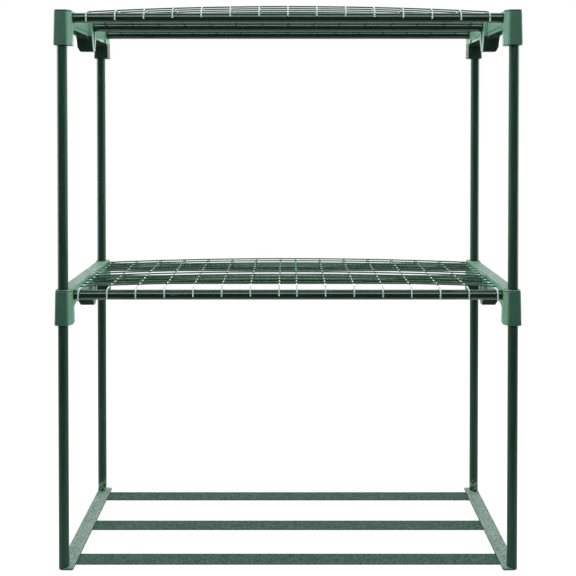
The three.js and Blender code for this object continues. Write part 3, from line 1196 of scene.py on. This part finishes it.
@dataclass
class SideRail:
    """A moulded side rail with a socket at each end for a leg and a bar, and one in the middle.

    In its own frame the leg axes are at x = 0, +X points to the middle of the rack, and its flat
    top is at z = 0. Edges are listed as pairs of a place along a side and an inset there.
    """

    layout: Layout
    outer: float = 9.5
    inner: float = 16.0
    height: float = 34.0
    wall: float = 2.5
    foot_corner: float = 0.5
    hollow_corner: float = 1.2
    top_corner: float = 1.4
    step_drop: float = 26.5
    step_depth: float = 1.0
    step_corner: float = 0.2
    step_groove: float = 0.8
    step_groove_ends: tuple[float, float, float] = (0.1, 1.4, 1.6)
    lip_width: float = 2.0
    lip_height: float = 1.2
    lip_corner: float = 0.6
    lip_foot_corner: float = 0.4
    sunk: float = 0.3
    block_reach: float = 12.5
    block_back: float = 11.5
    block_outer_corner: float = 6.0
    block_inner_corner: float = 7.0
    block_foot_edge: tuple[Point, ...] = ((0.0, 0.9), (0.25, 0.35), (0.8, 0.0))
    block_top_edge: tuple[Point, ...] = ((0.9, 0.0), (0.3, 0.25), (0.0, 0.8))
    groove_drop: float = 1.9
    groove_depth: float = 1.3
    groove_width: float = 1.3
    groove_slope: float = 0.2
    nose_reach: float = 19.5
    nose_front: float = 2.5
    nose_corner: float = 1.5
    boss_reach: float = 17.5
    boss_back: float = 23.5
    boss_top_drop: float = 0.3
    boss_gusset: float = 11.0
    boss_edge: float = 0.7
    flare: float = 1.2
    socket_height: float = 67.0
    top_web: float = 3.0
    stop_web: float = 3.0
    middle_reach: float = 23.0
    middle_gusset: float = 12.0
    middle_chamfer: Point = (4.5, 9.0)
    middle_top_half: float = 17.0
    middle_tip_half: float = 7.0
    middle_height: float = 65.0
    middle_tip_corner: float = 1.5
    middle_side_corner: float = 4.0
    middle_top_corner: float = 0.8
    middle_edge_radius: float = 1.0
    middle_web_edge: float = 0.5
    slot_top_half: float = 6.0
    slot_tip_half: float = 0.8
    slot_tip_rise: float = 4.0
    slot_start: float = 0.1
    mouth: float = 1.8
    rim: float = 0.5
    sides: int = 64

    def beam(self) -> Solid:
        """The inverted channel between the sockets, with its lip and its step.

        Returns:
            The shape.
        """
        top, low, wall = -self.sunk, -self.height, self.wall
        face, lip_inner = self.inner - self.step_depth, self.inner - self.lip_width
        groove_face = face - self.step_groove
        groove_top, groove_low, slope_low = (-self.step_drop - end for end in self.step_groove_ends)
        corners = [
            (-self.outer, low, self.foot_corner),
            (-self.outer + wall, low, self.foot_corner),
            (-self.outer + wall, -wall, self.hollow_corner),
            (face - wall, -wall, self.hollow_corner),
            (face - wall, low, self.foot_corner),
            (face, low, self.foot_corner),
            (face, slope_low, self.step_corner),
            (groove_face, groove_low, 0.0),
            (groove_face, groove_top, 0.0),
            (self.inner, -self.step_drop, self.step_corner),
            (self.inner, self.lip_height, self.lip_corner),
            (lip_inner, self.lip_height, self.lip_corner),
            (lip_inner, top, self.lip_foot_corner),
            (-self.outer, top, self.top_corner),
        ]
        reach = self.layout.leg_y
        return Solid.drawn(rounded(corners, steps=3), Along.Y, -reach, reach)

    def block(self) -> Solid:
        """The tapered block round a leg, with a fine groove under its top edge.

        Returns:
            The shape.
        """
        groove, slope, full = self.groove_drop, self.groove_slope, self.socket_height
        corners = [
            (-self.block_reach, self.block_back, self.block_outer_corner),
            (-self.block_reach, -self.block_reach, self.block_outer_corner),
            (self.block_reach, -self.block_reach, self.block_inner_corner),
            (self.nose_reach, -self.nose_front, self.nose_corner),
            (self.boss_reach, self.block_back, self.nose_corner),
        ]
        plan = rounded(corners, steps=6)
        levels = [(full - rise, inset) for rise, inset in self.block_foot_edge]
        levels.append((groove + self.groove_width + slope, 0.0))
        levels.append((groove + self.groove_width, self.groove_depth))
        levels += [(groove, self.groove_depth), (groove - slope, 0.0), *self.block_top_edge]
        rings = []
        for drop, inset in levels:
            push = self.flare * drop / full
            flared = [(x + math.copysign(push, x), y + math.copysign(push, y)) for x, y in plan]
            rings.append([Vector((x, y, -drop)) for x, y in drawn_in(flared, inset)])
        return Solid.lofted(rings)

    def boss(self) -> Solid:
        """The part behind a block that takes the end of a bar, with the hollow under it.

        Returns:
            The shape.
        """
        radius, low, top = self.boss_gusset, -self.height, -self.boss_top_drop
        curve = [(self.block_back + b, low - a) for a, b in quarter_round(radius, steps=8)]
        outline = [(0.0, low - radius), *curve, (self.boss_back, top), (0.0, top)]
        return Solid.drawn(outline, Along.X, -self.outer, self.boss_reach, self.boss_edge)

    def middle(self) -> Solid:
        """The tapering socket under the middle of the rail.

        Returns:
            The shape.
        """
        right = [
            (self.middle_tip_half, -self.middle_height, self.middle_tip_corner),
            (self.middle_top_half, -self.height, self.middle_side_corner),
            (self.middle_top_half, -self.sunk, self.middle_top_corner),
        ]
        outline = rounded(both_sides(right))
        edge = self.middle_edge_radius
        return Solid.drawn(outline, Along.X, -self.outer, self.middle_reach, edge)

    def middle_web(self) -> Solid:
        """The hollowed webs under the rail, on both sides of the middle socket.

        Returns:
            The shape.
        """
        half, end = self.middle_top_half, self.middle_top_half + self.middle_gusset
        right = [
            (self.middle_tip_half, -self.middle_height, self.middle_tip_corner),
            (half, -self.height, self.middle_gusset),
            (end, -self.height, 0.0),
            (end, -self.wall / 2, 0.0),
        ]
        outline = rounded(both_sides(right), steps=8)
        face = self.inner - self.step_depth
        return Solid.drawn(outline, Along.X, -self.outer, face, self.middle_web_edge)

    def middle_edge(self) -> Solid:
        """What is cut off the middle socket's outer bottom edge.

        Returns:
            The cutting shape.
        """
        width, height = self.middle_chamfer
        run, x, z = self.layout.overrun, -self.outer, -self.middle_height
        outline = [(x, z + height), (x - run, z + height), (x - run, z - run)]
        outline += [(x + width, z - run), (x + width, z)]
        return Solid.drawn(outline, Along.Y, -self.middle_top_half, self.middle_top_half)

    def leg_bores(self, open_top: bool) -> list[Solid]:
        """The holes for the legs at one socket.

        Args:
            open_top: Whether a leg also enters from above.

        Returns:
            The cutting shapes.
        """
        radius, run, rim = self.layout.bore_radius, self.layout.overrun, self.rim
        web = (self.socket_height + self.stop_web) / 2 if open_top else self.top_web
        wide, low = radius + self.mouth, -self.socket_height
        below = [(wide, low - run), (wide, low), (radius, low + self.mouth), (radius, -web)]
        bores = [Solid.turned(below, Along.Z, self.sides)]
        if open_top:
            depth = (self.socket_height - self.stop_web) / 2
            above = [(radius, -depth), (radius, -rim), (radius + rim, 0.0), (radius + rim, run)]
            bores.append(Solid.turned(above, Along.Z, self.sides))
        return bores

    def bar_hole(self) -> Solid:
        """The hole for a bar, at y = 0.

        Returns:
            The cutting shape.
        """
        radius, end = self.layout.bore_radius, self.middle_reach + self.layout.overrun
        profile = [(radius, self.layout.bar_seat), (radius, end)]
        return Solid.turned(profile, Along.X, self.sides).moved(z=-self.layout.bar_drop)

    def slot(self) -> Solid:
        """The tapered slot below the middle bar.

        Returns:
            The cutting shape.
        """
        tip = self.slot_tip_rise - self.middle_height
        right = [(self.slot_tip_half, tip), (self.slot_top_half, -self.layout.bar_drop)]
        start = self.layout.bar_seat + self.slot_start
        end = self.middle_reach + self.layout.overrun
        return Solid.drawn(both_sides(right), Along.X, start, end)

    def mesh(self, tier: Tier) -> bpy.types.Mesh:
        """Builds the whole moulding in its own frame.

        Args:
            tier: The tier, because only the lower one's sockets are open at the top.

        Returns:
            The mesh.
        """
        reach, bar_y = self.layout.leg_y, self.layout.bar_y
        corner = [self.block(), self.boss()]
        joined = [part.moved(y=-reach) for part in corner]
        joined += [part.front_to_rear().moved(y=reach) for part in corner]
        joined += [self.middle(), self.middle_web()]
        bores = self.leg_bores(tier is Tier.LOWER)
        cuts = [hole for bore in bores for hole in bore.rowed((-reach, reach))]
        cuts += [*self.bar_hole().rowed((-bar_y, 0.0, bar_y)), self.slot(), self.middle_edge()]
        name = f"{tier.label}_side_rail"
        return combined(name, self.beam(), (Work.JOIN, joined), (Work.CUT, cuts))

    def build(self, finishes: Finishes) -> None:
        """Adds the four side rails.

        Args:
            finishes: The materials.
        """
        for tier in Tier:
            local = self.mesh(tier)
            for side in Side:
                node = f"{side.label}_{tier.label}_side_rail"
                mesh = placed_at_end(local, side, self.layout.leg_x, self.layout.tops[tier])
                add_piece(node, mesh, finishes.moulded, Slot.MOULDED)
            bpy.data.meshes.remove(local)


def placed_at_end(
    mesh: bpy.types.Mesh, side: Side, leg_x: float, height: float
) -> bpy.types.Mesh:
    """Copies a mesh from its own frame to an end of the rack.

    Args:
        mesh: The mesh, with +X towards the middle of the rack.
        side: The end.
        leg_x: How far the leg axes are from the middle, in millimetres.
        height: How high the mesh's origin lies, in millimetres.

    Returns:
        The copy, mirrored for the right end with its faces still outwards.
    """
    copy = mesh.copy()
    mirror = Matrix.Diagonal((-side.value, 1.0, 1.0, 1.0))
    copy.transform(Matrix.Translation((side.value * leg_x * MM, 0.0, height * MM)) @ mirror)
    if side is Side.RIGHT:
        copy.flip_normals()
    return copy


@dataclass
class Tubes:
    """The legs and the shelf bars, cut from one tube with lightly rolled ends."""

    layout: Layout
    end_radius: float = 0.4
    sides: int = 56

    def tube(self, along: Along, start: float, end: float) -> Solid:
        """A straight tube between two places on an axis.

        Args:
            along: The axis.
            start: Where it starts.
            end: Where it ends.

        Returns:
            The hollow shape.
        """
        outer = self.layout.tube_radius
        bore = outer - self.layout.tube_wall
        profile = [(outer - inset, at) for inset, at in end_levels(start, end, self.end_radius)]
        return Solid.turned([*profile, (bore, end), (bore, start)], along, self.sides, looped=True)

    def build(self, finishes: Finishes) -> None:
        """Adds the eight legs and the six bars where their solids are.

        Args:
            finishes: The materials.
        """
        for tier in Tier:
            for side in Side:
                for row in (Row.FRONT, Row.REAR):
                    self.add(f"{row.label}_{side.label}_{tier.label}_leg", Along.Z, finishes)
            for row in Row:
                self.add(f"{tier.label}_{row.label}_bar", Along.X, finishes)

    def add(self, node: str, along: Along, finishes: Finishes) -> None:
        """Adds one tube where its solid is.

        Args:
            node: The solid's name.
            along: The tube's axis.
            finishes: The materials.
        """
        low, high = (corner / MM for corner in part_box(node))
        middle = (low + high) / 2
        if along is Along.Z:
            solid = self.tube(along, low.z, high.z).moved(x=middle.x, y=middle.y)
            finish = finishes.upright_tube
        else:
            solid = self.tube(along, low.x, high.x).moved(y=middle.y, z=middle.z)
            finish = finishes.level_tube
        add_piece(node, tidied(solid.mesh(node)), finish, Slot.TUBE)


@dataclass(frozen=True)
class ShelfPattern:
    """What differs between the two wire shelves."""

    cross_wires: int
    centre_gap: float
    end_inset: float
    bow: float


class ShelfTree(Board):
    """The node tree that makes a wire shelf from the path of one cross wire."""

    def __init__(self, shelf: "WireShelf") -> None:
        """Builds the tree, with named inputs in metres.

        Args:
            shelf: The shelf, which names the inputs.
        """
        name = f"{shelf.tier.label} wire shelf"
        super().__init__(bpy.data.node_groups.new(name, "GeometryNodeTree"))
        self.shelf = shelf
        self.declare("Geometry", "Geometry")
        self.declare("Finish", "Material")
        for kind, names in (("Int", shelf.counts()), ("Float", shelf.lengths())):
            for name in names:
                self.declare(name, kind)
        self.declare("Geometry", "Geometry", "OUTPUT")
        self.given = self.outs(self.add("NodeGroupInput"))
        feeds = {"Resolution": shelf.wire_sides, "Radius": self.given["Wire diameter"] * 0.5}
        self.section = self.out("GeometryNodeCurvePrimitiveCircle", feeds)
        points = self.cross_wire_points()
        joined = self.add("GeometryNodeJoinGeometry")
        for part in (self.cross_wires(points), self.deck_wires(), self.welds(points)):
            self.feed(joined.inputs[0], part)
        real = self.out("GeometryNodeRealizeInstances", {0: self.outs(joined)["Geometry"]})
        smooth = self.out("GeometryNodeSetShadeSmooth", {0: real})
        feeds = {0: smooth, "Material": self.given["Finish"]}
        self.add("NodeGroupOutput", {0: self.out("GeometryNodeSetMaterial", feeds)})

    def bow_height(self, x: Signal) -> Signal:
        """Height of the bowed deck above its ends."""
        share = x / self.given["Half length"]
        return self.given["Bow"] * (1.0 - share * share)

    def spread(self, points: Signal, instance: Signal, **feeds: object) -> Signal:
        """A copy of an instance at each point."""
        named = {name.capitalize(): value for name, value in feeds.items()}
        return self.out("GeometryNodeInstanceOnPoints", {0: points, "Instance": instance, **named})

    def swept(self, path: Signal) -> Signal:
        """The closed wire that a round section makes along a path."""
        feeds = {0: path, "Profile Curve": self.section, "Fill Caps": True}
        return self.out("GeometryNodeCurveToMesh", feeds)

    def cross_wire_points(self) -> Signal:
        """Spreads one point for each cross wire along the bow.

        Returns:
            The points.
        """
        count = self.given["Cross wires"]
        step = self.out("GeometryNodeInputIndex") - (count - 1.0) * 0.5
        x = step * self.given["Pitch"] + step.sign() * self.given["Centre shift"]
        line = self.out("GeometryNodeMeshLine", {"Count": count})
        feeds = {0: line, "Position": self.vector(x, z=self.bow_height(x))}
        return self.out("GeometryNodeSetPosition", feeds)

    def cross_wires(self, points: Signal) -> Signal:
        """Bends the hooked wires from the given path.

        Args:
            points: One point for each wire.

        Returns:
            The wires.
        """
        curve = self.out("GeometryNodeMeshToCurve", {0: self.given["Geometry"]})
        feeds = {"Curve": curve, "Count": self.shelf.bend_points}
        feeds["Radius"] = self.given["Bend radius"]
        bent = self.out("GeometryNodeFilletCurve", feeds, mode="POLY")
        feeds = {0: self.swept(bent), "Name": CROSS_WIRE, "Value": 1.0}
        return self.spread(points, self.out("GeometryNodeStoreNamedAttribute", feeds))

    def deck_wires(self) -> Signal:
        """Bows the long wires along their length.

        Returns:
            The wires.
        """
        reach = self.given["Half length"] + self.given["Overhang"]
        ends = {"Start": self.vector(reach * -1.0), "End": self.vector(reach)}
        line = self.out("GeometryNodeCurvePrimitiveLine", ends)
        feeds = {0: line, "Count": self.shelf.bow_points}
        fine = self.out("GeometryNodeResampleCurve", feeds)
        x = self.split(self.out("GeometryNodeInputPosition"))[0]
        lift = self.vector(z=self.bow_height(x) + self.given["Deck height"])
        bowed = self.out("GeometryNodeSetPosition", {0: fine, "Offset": lift})
        return self.spread(self.row_points(), self.swept(bowed))

    def row_points(self) -> Signal:
        """Spreads one point for each long wire from front to rear.

        Returns:
            The points.
        """
        span, count = self.given["Long wire span"], self.given["Long wires"]
        feeds = {"Count": count, "Start Location": self.vector(y=span * -0.5)}
        feeds["Offset"] = self.vector(y=span / (count - 1.0))
        return self.out("GeometryNodeMeshLine", feeds)

    def welds(self, points: Signal) -> Signal:
        """Puts a small coated weld at each crossing.

        Args:
            points: One point for each cross wire.

        Returns:
            The welds.
        """
        wire, reach = self.shelf.wire, self.shelf.weld_reach
        feeds = {"Radius": self.given["Wire diameter"], "Subdivisions": 2}
        bead = self.out("GeometryNodeMeshIcoSphere", feeds)
        flat = (reach / wire, reach / wire, self.shelf.weld_thickness / wire)
        feeds = {0: self.row_points(), "Offset": self.vector(z=self.given["Weld height"])}
        lifted = self.out("GeometryNodeSetPosition", feeds)
        return self.spread(points, self.spread(lifted, bead, scale=flat))


@dataclass
class WireShelf:
    """A welded wire shelf: cross wires hook over the outer bars and long wires lie on them."""

    layout: Layout
    tier: Tier
    pattern: ShelfPattern
    wire: float = 2.8
    weld_sink: float = 0.4
    long_wires: int = 11
    long_inset: float = 11.5
    overhang: float = 3.0
    hook_drop: float = 21.0
    wire_sides: int = 12
    bend_points: int = 9
    bow_points: int = 49
    weld_reach: float = 2.3
    weld_thickness: float = 1.5

    @property
    def deck(self) -> float:
        """Height of the cross wires' axes at the ends of the shelf."""
        layout = self.layout
        return layout.tops[self.tier] - layout.bar_drop + layout.bore_radius + self.wire / 2

    def counts(self) -> dict[str, int]:
        """The tree's counts for this shelf."""
        return {"Cross wires": self.pattern.cross_wires, "Long wires": self.long_wires}

    def lengths(self) -> dict[str, float]:
        """The tree's lengths for this shelf.

        Returns:
            Millimetres for each named input.
        """
        pattern, layout, radius = self.pattern, self.layout, self.wire / 2
        half = layout.leg_x - pattern.end_inset
        per_side, odd = divmod(pattern.cross_wires, 2)
        first = half / per_side if odd else pattern.centre_gap / 2
        pitch = (half - first) / (per_side - 1)
        return {
            "Wire diameter": self.wire,
            "Bend radius": layout.bore_radius + radius,
            "Pitch": pitch,
            "Centre shift": 0.0 if odd else first - pitch / 2,
            "Half length": half,
            "Overhang": radius + self.overhang,
            "Bow": pattern.bow,
            "Deck height": self.deck + self.wire - self.weld_sink,
            "Long wire span": 2 * (layout.bar_y - self.long_inset),
            "Weld height": self.deck + radius - self.weld_sink / 2,
        }

    def path(self) -> bpy.types.Mesh:
        """Lays out a cross wire's corners, from its front hook's end to its rear one's.

        Returns:
            The path as a mesh of edges.
        """
        hook_end = self.deck + self.wire / 2 - self.hook_drop
        edge = self.layout.bar_y + self.layout.bore_radius + self.wire / 2
        corners = [(-edge, hook_end), (-edge, self.deck), (edge, self.deck), (edge, hook_end)]
        mesh = bpy.data.meshes.new(f"{self.tier.label}_cross_wire_path")
        points = [(0.0, y * MM, z * MM) for y, z in corners]
        mesh.from_pydata(points, [(0, 1), (1, 2), (2, 3)], [])
        return mesh

    def build(self, finishes: Finishes) -> None:
        """Adds the shelf in the place of its solid.

        Args:
            finishes: The materials.
        """
        node = f"{self.tier.label}_wire_shelf"
        maker = put_in_scene(f"{node}_maker", self.path())
        modifier = maker.modifiers.new("wires", "NODES")
        modifier.node_group = ShelfTree(self).tree
        values = {name: length * MM for name, length in self.lengths().items()}
        values |= {"Finish": finishes.wire, **self.counts()}
        for item in modifier.node_group.interface.items_tree:
            if item.in_out == "INPUT" and item.name in values:
                modifier[item.identifier] = values[item.name]
        mesh = tidied(baked(maker, node), WIRE_SMOOTH_ANGLE)
        clear_away([maker])
        body = Body.LOWER_SHELF if self.tier is Tier.LOWER else Body.UPPER_SHELF
        add_piece(node, mesh, finishes.wire, Slot.WIRE, body)


@dataclass
class BaseFrame:
    """Two shallow moulded rails under the legs, and three flat strips between them."""

    layout: Layout
    outer: float = 9.5
    inner: float = 20.0
    inner_corner: float = 3.0
    height: float = 3.6
    rail_edge: float = 0.6
    wall: float = 1.8
    peg_height: float = 25.0
    peg_foot: float = 0.3
    peg_chamfer: float = 0.8
    peg_wall: float = 2.0
    flat_width: float = 32.0
    flat_thickness: float = 1.5
    flat_inset: float = 23.0
    flat_end: float = 8.0
    flat_corner: float = 2.0
    flat_edge: float = 0.35
    stud_radius: float = 2.5
    stud_foot: float = 0.1
    stud_drop: float = 0.6
    clearance: float = 1.0
    sides: int = 48
    stud_sides: int = 24

    @property
    def flat_places(self) -> list[float]:
        """Where the middles of the strips lie, from front to rear."""
        offset = self.layout.leg_y - self.flat_inset
        return [-offset, 0.0, offset]

    @property
    def stud_x(self) -> float:
        """Where the studs lie across the rail, in the rail's own frame."""
        return (self.inner + self.flat_end) / 2

    def plan(self) -> list[Point]:
        """A base rail's outline, with its outer corners rounded about the leg axes.

        Returns:
            The outline's points.
        """
        end = self.layout.leg_y + self.outer
        corners = [
            (-self.outer, -end, self.outer),
            (self.inner, -end, self.inner_corner),
            (self.inner, end, self.inner_corner),
            (-self.outer, end, self.outer),
        ]
        return rounded(corners, steps=10)

    def under_cut(self, left: float, right: float, half: float) -> Solid:
        """What is cut out from below, up to the underside of the rail's top wall.

        Args:
            left: Where it starts across the rail.
            right: Where it ends.
            half: Half of its length along the rail.

        Returns:
            The cutting box, at y = 0.
        """
        outline = [(left, -half), (right, -half), (right, half), (left, half)]
        return Solid.drawn(outline, Along.Z, -self.clearance, self.height - self.wall)

    def peg(self) -> Solid:
        """The hollow peg that stands in a leg, at y = 0.

        Returns:
            The shape.
        """
        radius = self.layout.tube_radius - self.layout.tube_wall - self.layout.fit_gap
        top, foot, inner = self.wall + self.peg_height, self.peg_foot, radius - self.peg_wall
        profile = [(radius, foot), (radius, top - self.peg_chamfer)]
        profile += [(radius - self.peg_chamfer, top), (inner, top), (inner, foot)]
        return Solid.turned(profile, Along.Z, self.sides, looped=True)

    def rail_mesh(self) -> bpy.types.Mesh:
        """Builds a base rail in its own frame, with +X towards the middle of the rack.

        Returns:
            The mesh.
        """
        layout, wall, high, gap = self.layout, self.wall, self.height, self.layout.fit_gap
        plate = Solid.drawn(self.plan(), Along.Z, 0.0, high, self.rail_edge)
        hollow_half = layout.leg_y - layout.bore_radius - wall
        hollow = self.under_cut(-self.outer + wall, self.inner - wall, hollow_half)
        end, half = self.inner + self.clearance, self.flat_width / 2 + gap
        seat = self.under_cut(self.flat_end - gap, end, half)
        bore = layout.bore_radius
        pocket = Solid.turned([(bore, wall), (bore, high + self.clearance)], Along.Z, self.sides)
        post = [(self.stud_radius, self.stud_foot), (self.stud_radius, high - self.stud_drop)]
        stud = Solid.turned(post, Along.Z, self.stud_sides)
        legs = (-layout.leg_y, layout.leg_y)
        cuts = [hollow, *seat.rowed(self.flat_places), *pocket.rowed(legs)]
        joined = [*self.peg().rowed(legs), *stud.rowed(self.flat_places, self.stud_x)]
        return combined("base_rail", plate, (Work.CUT, cuts), (Work.JOIN, joined))

    def strip_mesh(self) -> bpy.types.Mesh:
        """Builds a strip with a hole for a stud at each end.

        Returns:
            The mesh.
        """
        half, side = self.layout.leg_x - self.flat_end, self.flat_width / 2
        right = [(half, -side, self.flat_corner), (half, side, self.flat_corner)]
        thick, spare = self.flat_thickness, self.clearance
        strip = Solid.drawn(rounded(both_sides(right)), Along.Z, 0.0, thick, self.flat_edge)
        radius, place = self.stud_radius + self.layout.fit_gap, self.layout.leg_x - self.stud_x
        profile = [(radius, -spare), (radius, thick + spare)]
        hole = Solid.turned(profile, Along.Z, self.stud_sides)
        holes = [hole.moved(x=-place), hole.moved(x=place)]
        return combined("base_flat", strip, (Work.CUT, holes))

    def build(self, finishes: Finishes) -> None:
        """Adds the base rails and the strips.

        Args:
            finishes: The materials.
        """
        rail = self.rail_mesh()
        for side in Side:
            node = f"{side.label}_base_rail"
            mesh = placed_at_end(rail, side, self.layout.leg_x, 0.0)
            add_piece(node, mesh, finishes.moulded, Slot.MOULDED)
        strip = self.strip_mesh()
        for row, y in zip(Row, self.flat_places):
            node = f"{row.label}_base_flat"
            mesh = strip.copy()
            mesh.transform(Matrix.Translation((0.0, y * MM, 0.0)))
            add_piece(node, mesh, finishes.flat, Slot.FLAT)
        bpy.data.meshes.remove(rail)
        bpy.data.meshes.remove(strip)


# The studio


@dataclass(frozen=True)
class Softbox:
    """A large soft lamp that isn't seen itself. Its sizes are in metres."""

    name: str
    place: tuple[float, float, float]
    aim: tuple[float, float, float]
    width: float
    height: float
    watts: float

    def build(self) -> None:
        """Adds the lamp, turned to its aim."""
        lamp = bpy.data.lights.new(self.name, "AREA")
        lamp.shape = "RECTANGLE"
        lamp.size, lamp.size_y = self.width, self.height
        lamp.energy = self.watts
        thing = put_in_scene(self.name, lamp)
        thing.location = self.place
        direction = Vector(self.aim) - Vector(self.place)
        thing.rotation_euler = direction.to_track_quat("-Z", "Y").to_euler()
        thing.visible_camera = False


@dataclass(frozen=True)
class Viewpoint:
    """The camera, with the photograph's perspective, in metres, degrees and pixels."""

    distance: float = 1.420
    height: float = 0.8561
    pitch: float = 0.712
    focal_pixels: float = 673.4
    frame_pixels: float = 576.0
    axis_row: float = 130.9
    sensor: float = 36.0

    def build(self) -> None:
        """Adds the camera and makes it the scene's."""
        camera = bpy.data.cameras.new("camera")
        camera.sensor_width = self.sensor
        camera.lens = self.sensor * self.focal_pixels / self.frame_pixels
        camera.shift_y = (self.axis_row - self.frame_pixels / 2) / self.frame_pixels
        thing = put_in_scene("camera", camera)
        thing.location = (0.0, -self.distance, self.height)
        thing.rotation_euler = (math.radians(90 - self.pitch), 0.0, 0.0)
        bpy.context.scene.camera = thing


@dataclass
class Studio:
    """The floor, the surround, the lamps and the camera. Its sizes are in metres."""

    floor_reach: float = 12.0
    floor_front: float = 0.45
    floor_drop: float = 0.0004
    floor_fade: Span = (0.7, 2.5)
    floor_lit: float = 0.28
    floor_glow: float = 0.76
    floor_grey: Colour = (0.45, 0.45, 0.45, 1.0)
    surround_front: float = 0.08
    surround_back: float = 0.95
    white_span: Span = (-0.3, 0.3)
    dim_span: Span = (-0.6, 0.3)
    lamps: tuple[Softbox, ...] = (
        Softbox("left softbox", (-2.6, 0.5, 0.9), (0.0, 0.0, 0.6), 2.0, 2.0, 66.0),
        Softbox("right softbox", (2.6, 0.5, 0.9), (0.0, 0.0, 0.6), 2.0, 2.0, 66.0),
        Softbox("top softbox", (0.0, 0.75, 2.6), (0.0, 0.0, 0.5), 2.0, 1.2, 8.0),
        Softbox("front softbox", (0.0, -2.0, 2.45), (0.0, 0.0, 0.6), 3.2, 1.1, 60.0),
        Softbox("back softbox", (0.0, 3.2, 1.5), (0.0, 0.0, 0.6), 4.0, 0.8, 60.0),
    )

    def build(self) -> None:
        """Adds everything round the rack."""
        bpy.context.scene.view_settings.view_transform = "Standard"
        self.surround()
        self.floor()
        for lamp in self.lamps:
            lamp.build()
        Viewpoint().build()

    @staticmethod
    def seeing_rays(board: Board) -> tuple[Signal, Signal]:
        """Tells the rays that see the background from those that carry light to the rack.

        Args:
            board: The tree's board.

        Returns:
            A mask of the camera's own rays, and a mask of those with glossy and clear rays added.
        """
        rays = board.outs(board.add("ShaderNodeLightPath"))
        camera = rays["Is Camera Ray"]
        return camera, camera | (rays["Is Glossy Ray"] | rays["Is Transmission Ray"])

    def surround(self) -> None:
        """Sets the world: white behind the rack, and dim to the front as light."""
        world = bpy.data.worlds.new("studio surround")
        bpy.context.scene.world = world
        world.use_nodes = True
        world.node_tree.nodes.clear()
        board = Board(world.node_tree)
        depth = board.split(board.out("ShaderNodeTexCoord", output="Generated"))[1]
        camera, seeing = self.seeing_rays(board)
        shown = camera | depth.ranged(*self.white_span, self.surround_front, 1.0)
        level = depth.ranged(*self.dim_span, self.surround_front, self.surround_back)
        light, seen = (
            board.out("ShaderNodeBackground", {"Color": WHITE, "Strength": strength})
            for strength in (level, shown)
        )
        mix = board.out("ShaderNodeMixShader", {0: seeing, 1: light, 2: seen})
        board.add("ShaderNodeOutputWorld", {0: mix})

    def floor(self) -> None:
        """Adds a plain pale floor that keeps the rack's shadow."""
        reach, front, z = self.floor_reach, -self.floor_front, -self.floor_drop
        mesh = bpy.data.meshes.new("floor")
        corners = [(-reach, front, z), (reach, front, z), (reach, reach, z), (-reach, reach, z)]
        mesh.from_pydata(corners, [], [(0, 1, 2, 3)])
        material = bpy.data.materials.new("pale floor")
        material.use_nodes = True
        material.node_tree.nodes.clear()
        board = Board(material.node_tree)
        place = board.out("ShaderNodeTexCoord", output="Object")
        away = board.out("ShaderNodeVectorMath", {0: place}, "Value", operation="LENGTH")
        lit = away.ranged(*self.floor_fade, self.floor_lit, 0.0)
        glow = away.ranged(*self.floor_fade, self.floor_glow, 1.0)
        shadowed = board.out("ShaderNodeBsdfDiffuse", {"Color": lit})
        glowing = board.out("ShaderNodeEmission", {"Strength": glow})
        seen = board.out("ShaderNodeAddShader", {0: shadowed, 1: glowing})
        plain = board.out("ShaderNodeBsdfDiffuse", {"Color": self.floor_grey})
        seeing = self.seeing_rays(board)[1]
        mix = board.out("ShaderNodeMixShader", {0: seeing, 1: plain, 2: seen})
        board.add("ShaderNodeOutputMaterial", {0: mix})
        mesh.materials.append(material)
        put_in_scene("floor", mesh)


@dataclass
class Rack:
    """The whole rack."""

    layout: Layout = field(default_factory=Layout)
    lower: ShelfPattern = ShelfPattern(cross_wires=16, centre_gap=34.0, end_inset=29.0, bow=8.0)
    upper: ShelfPattern = ShelfPattern(cross_wires=15, centre_gap=0.0, end_inset=46.0, bow=10.0)

    def build(self) -> None:
        """Builds every sub-assembly in order."""
        finishes = Finishes.built()
        parts = (
            BaseFrame(self.layout),
            Tubes(self.layout),
            SideRail(self.layout),
            WireShelf(self.layout, Tier.LOWER, self.lower),
            WireShelf(self.layout, Tier.UPPER, self.upper),
        )
        for part in parts:
            LOG.info("building %s", type(part).__name__)
            part.build(finishes)


def main() -> None:
    """Builds the studio and the rack."""
    logging.basicConfig(level=logging.INFO, format="%(name)s: %(message)s")
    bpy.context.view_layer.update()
    Studio().build()
    Rack().build()


if __name__ == "__main__":
    main()
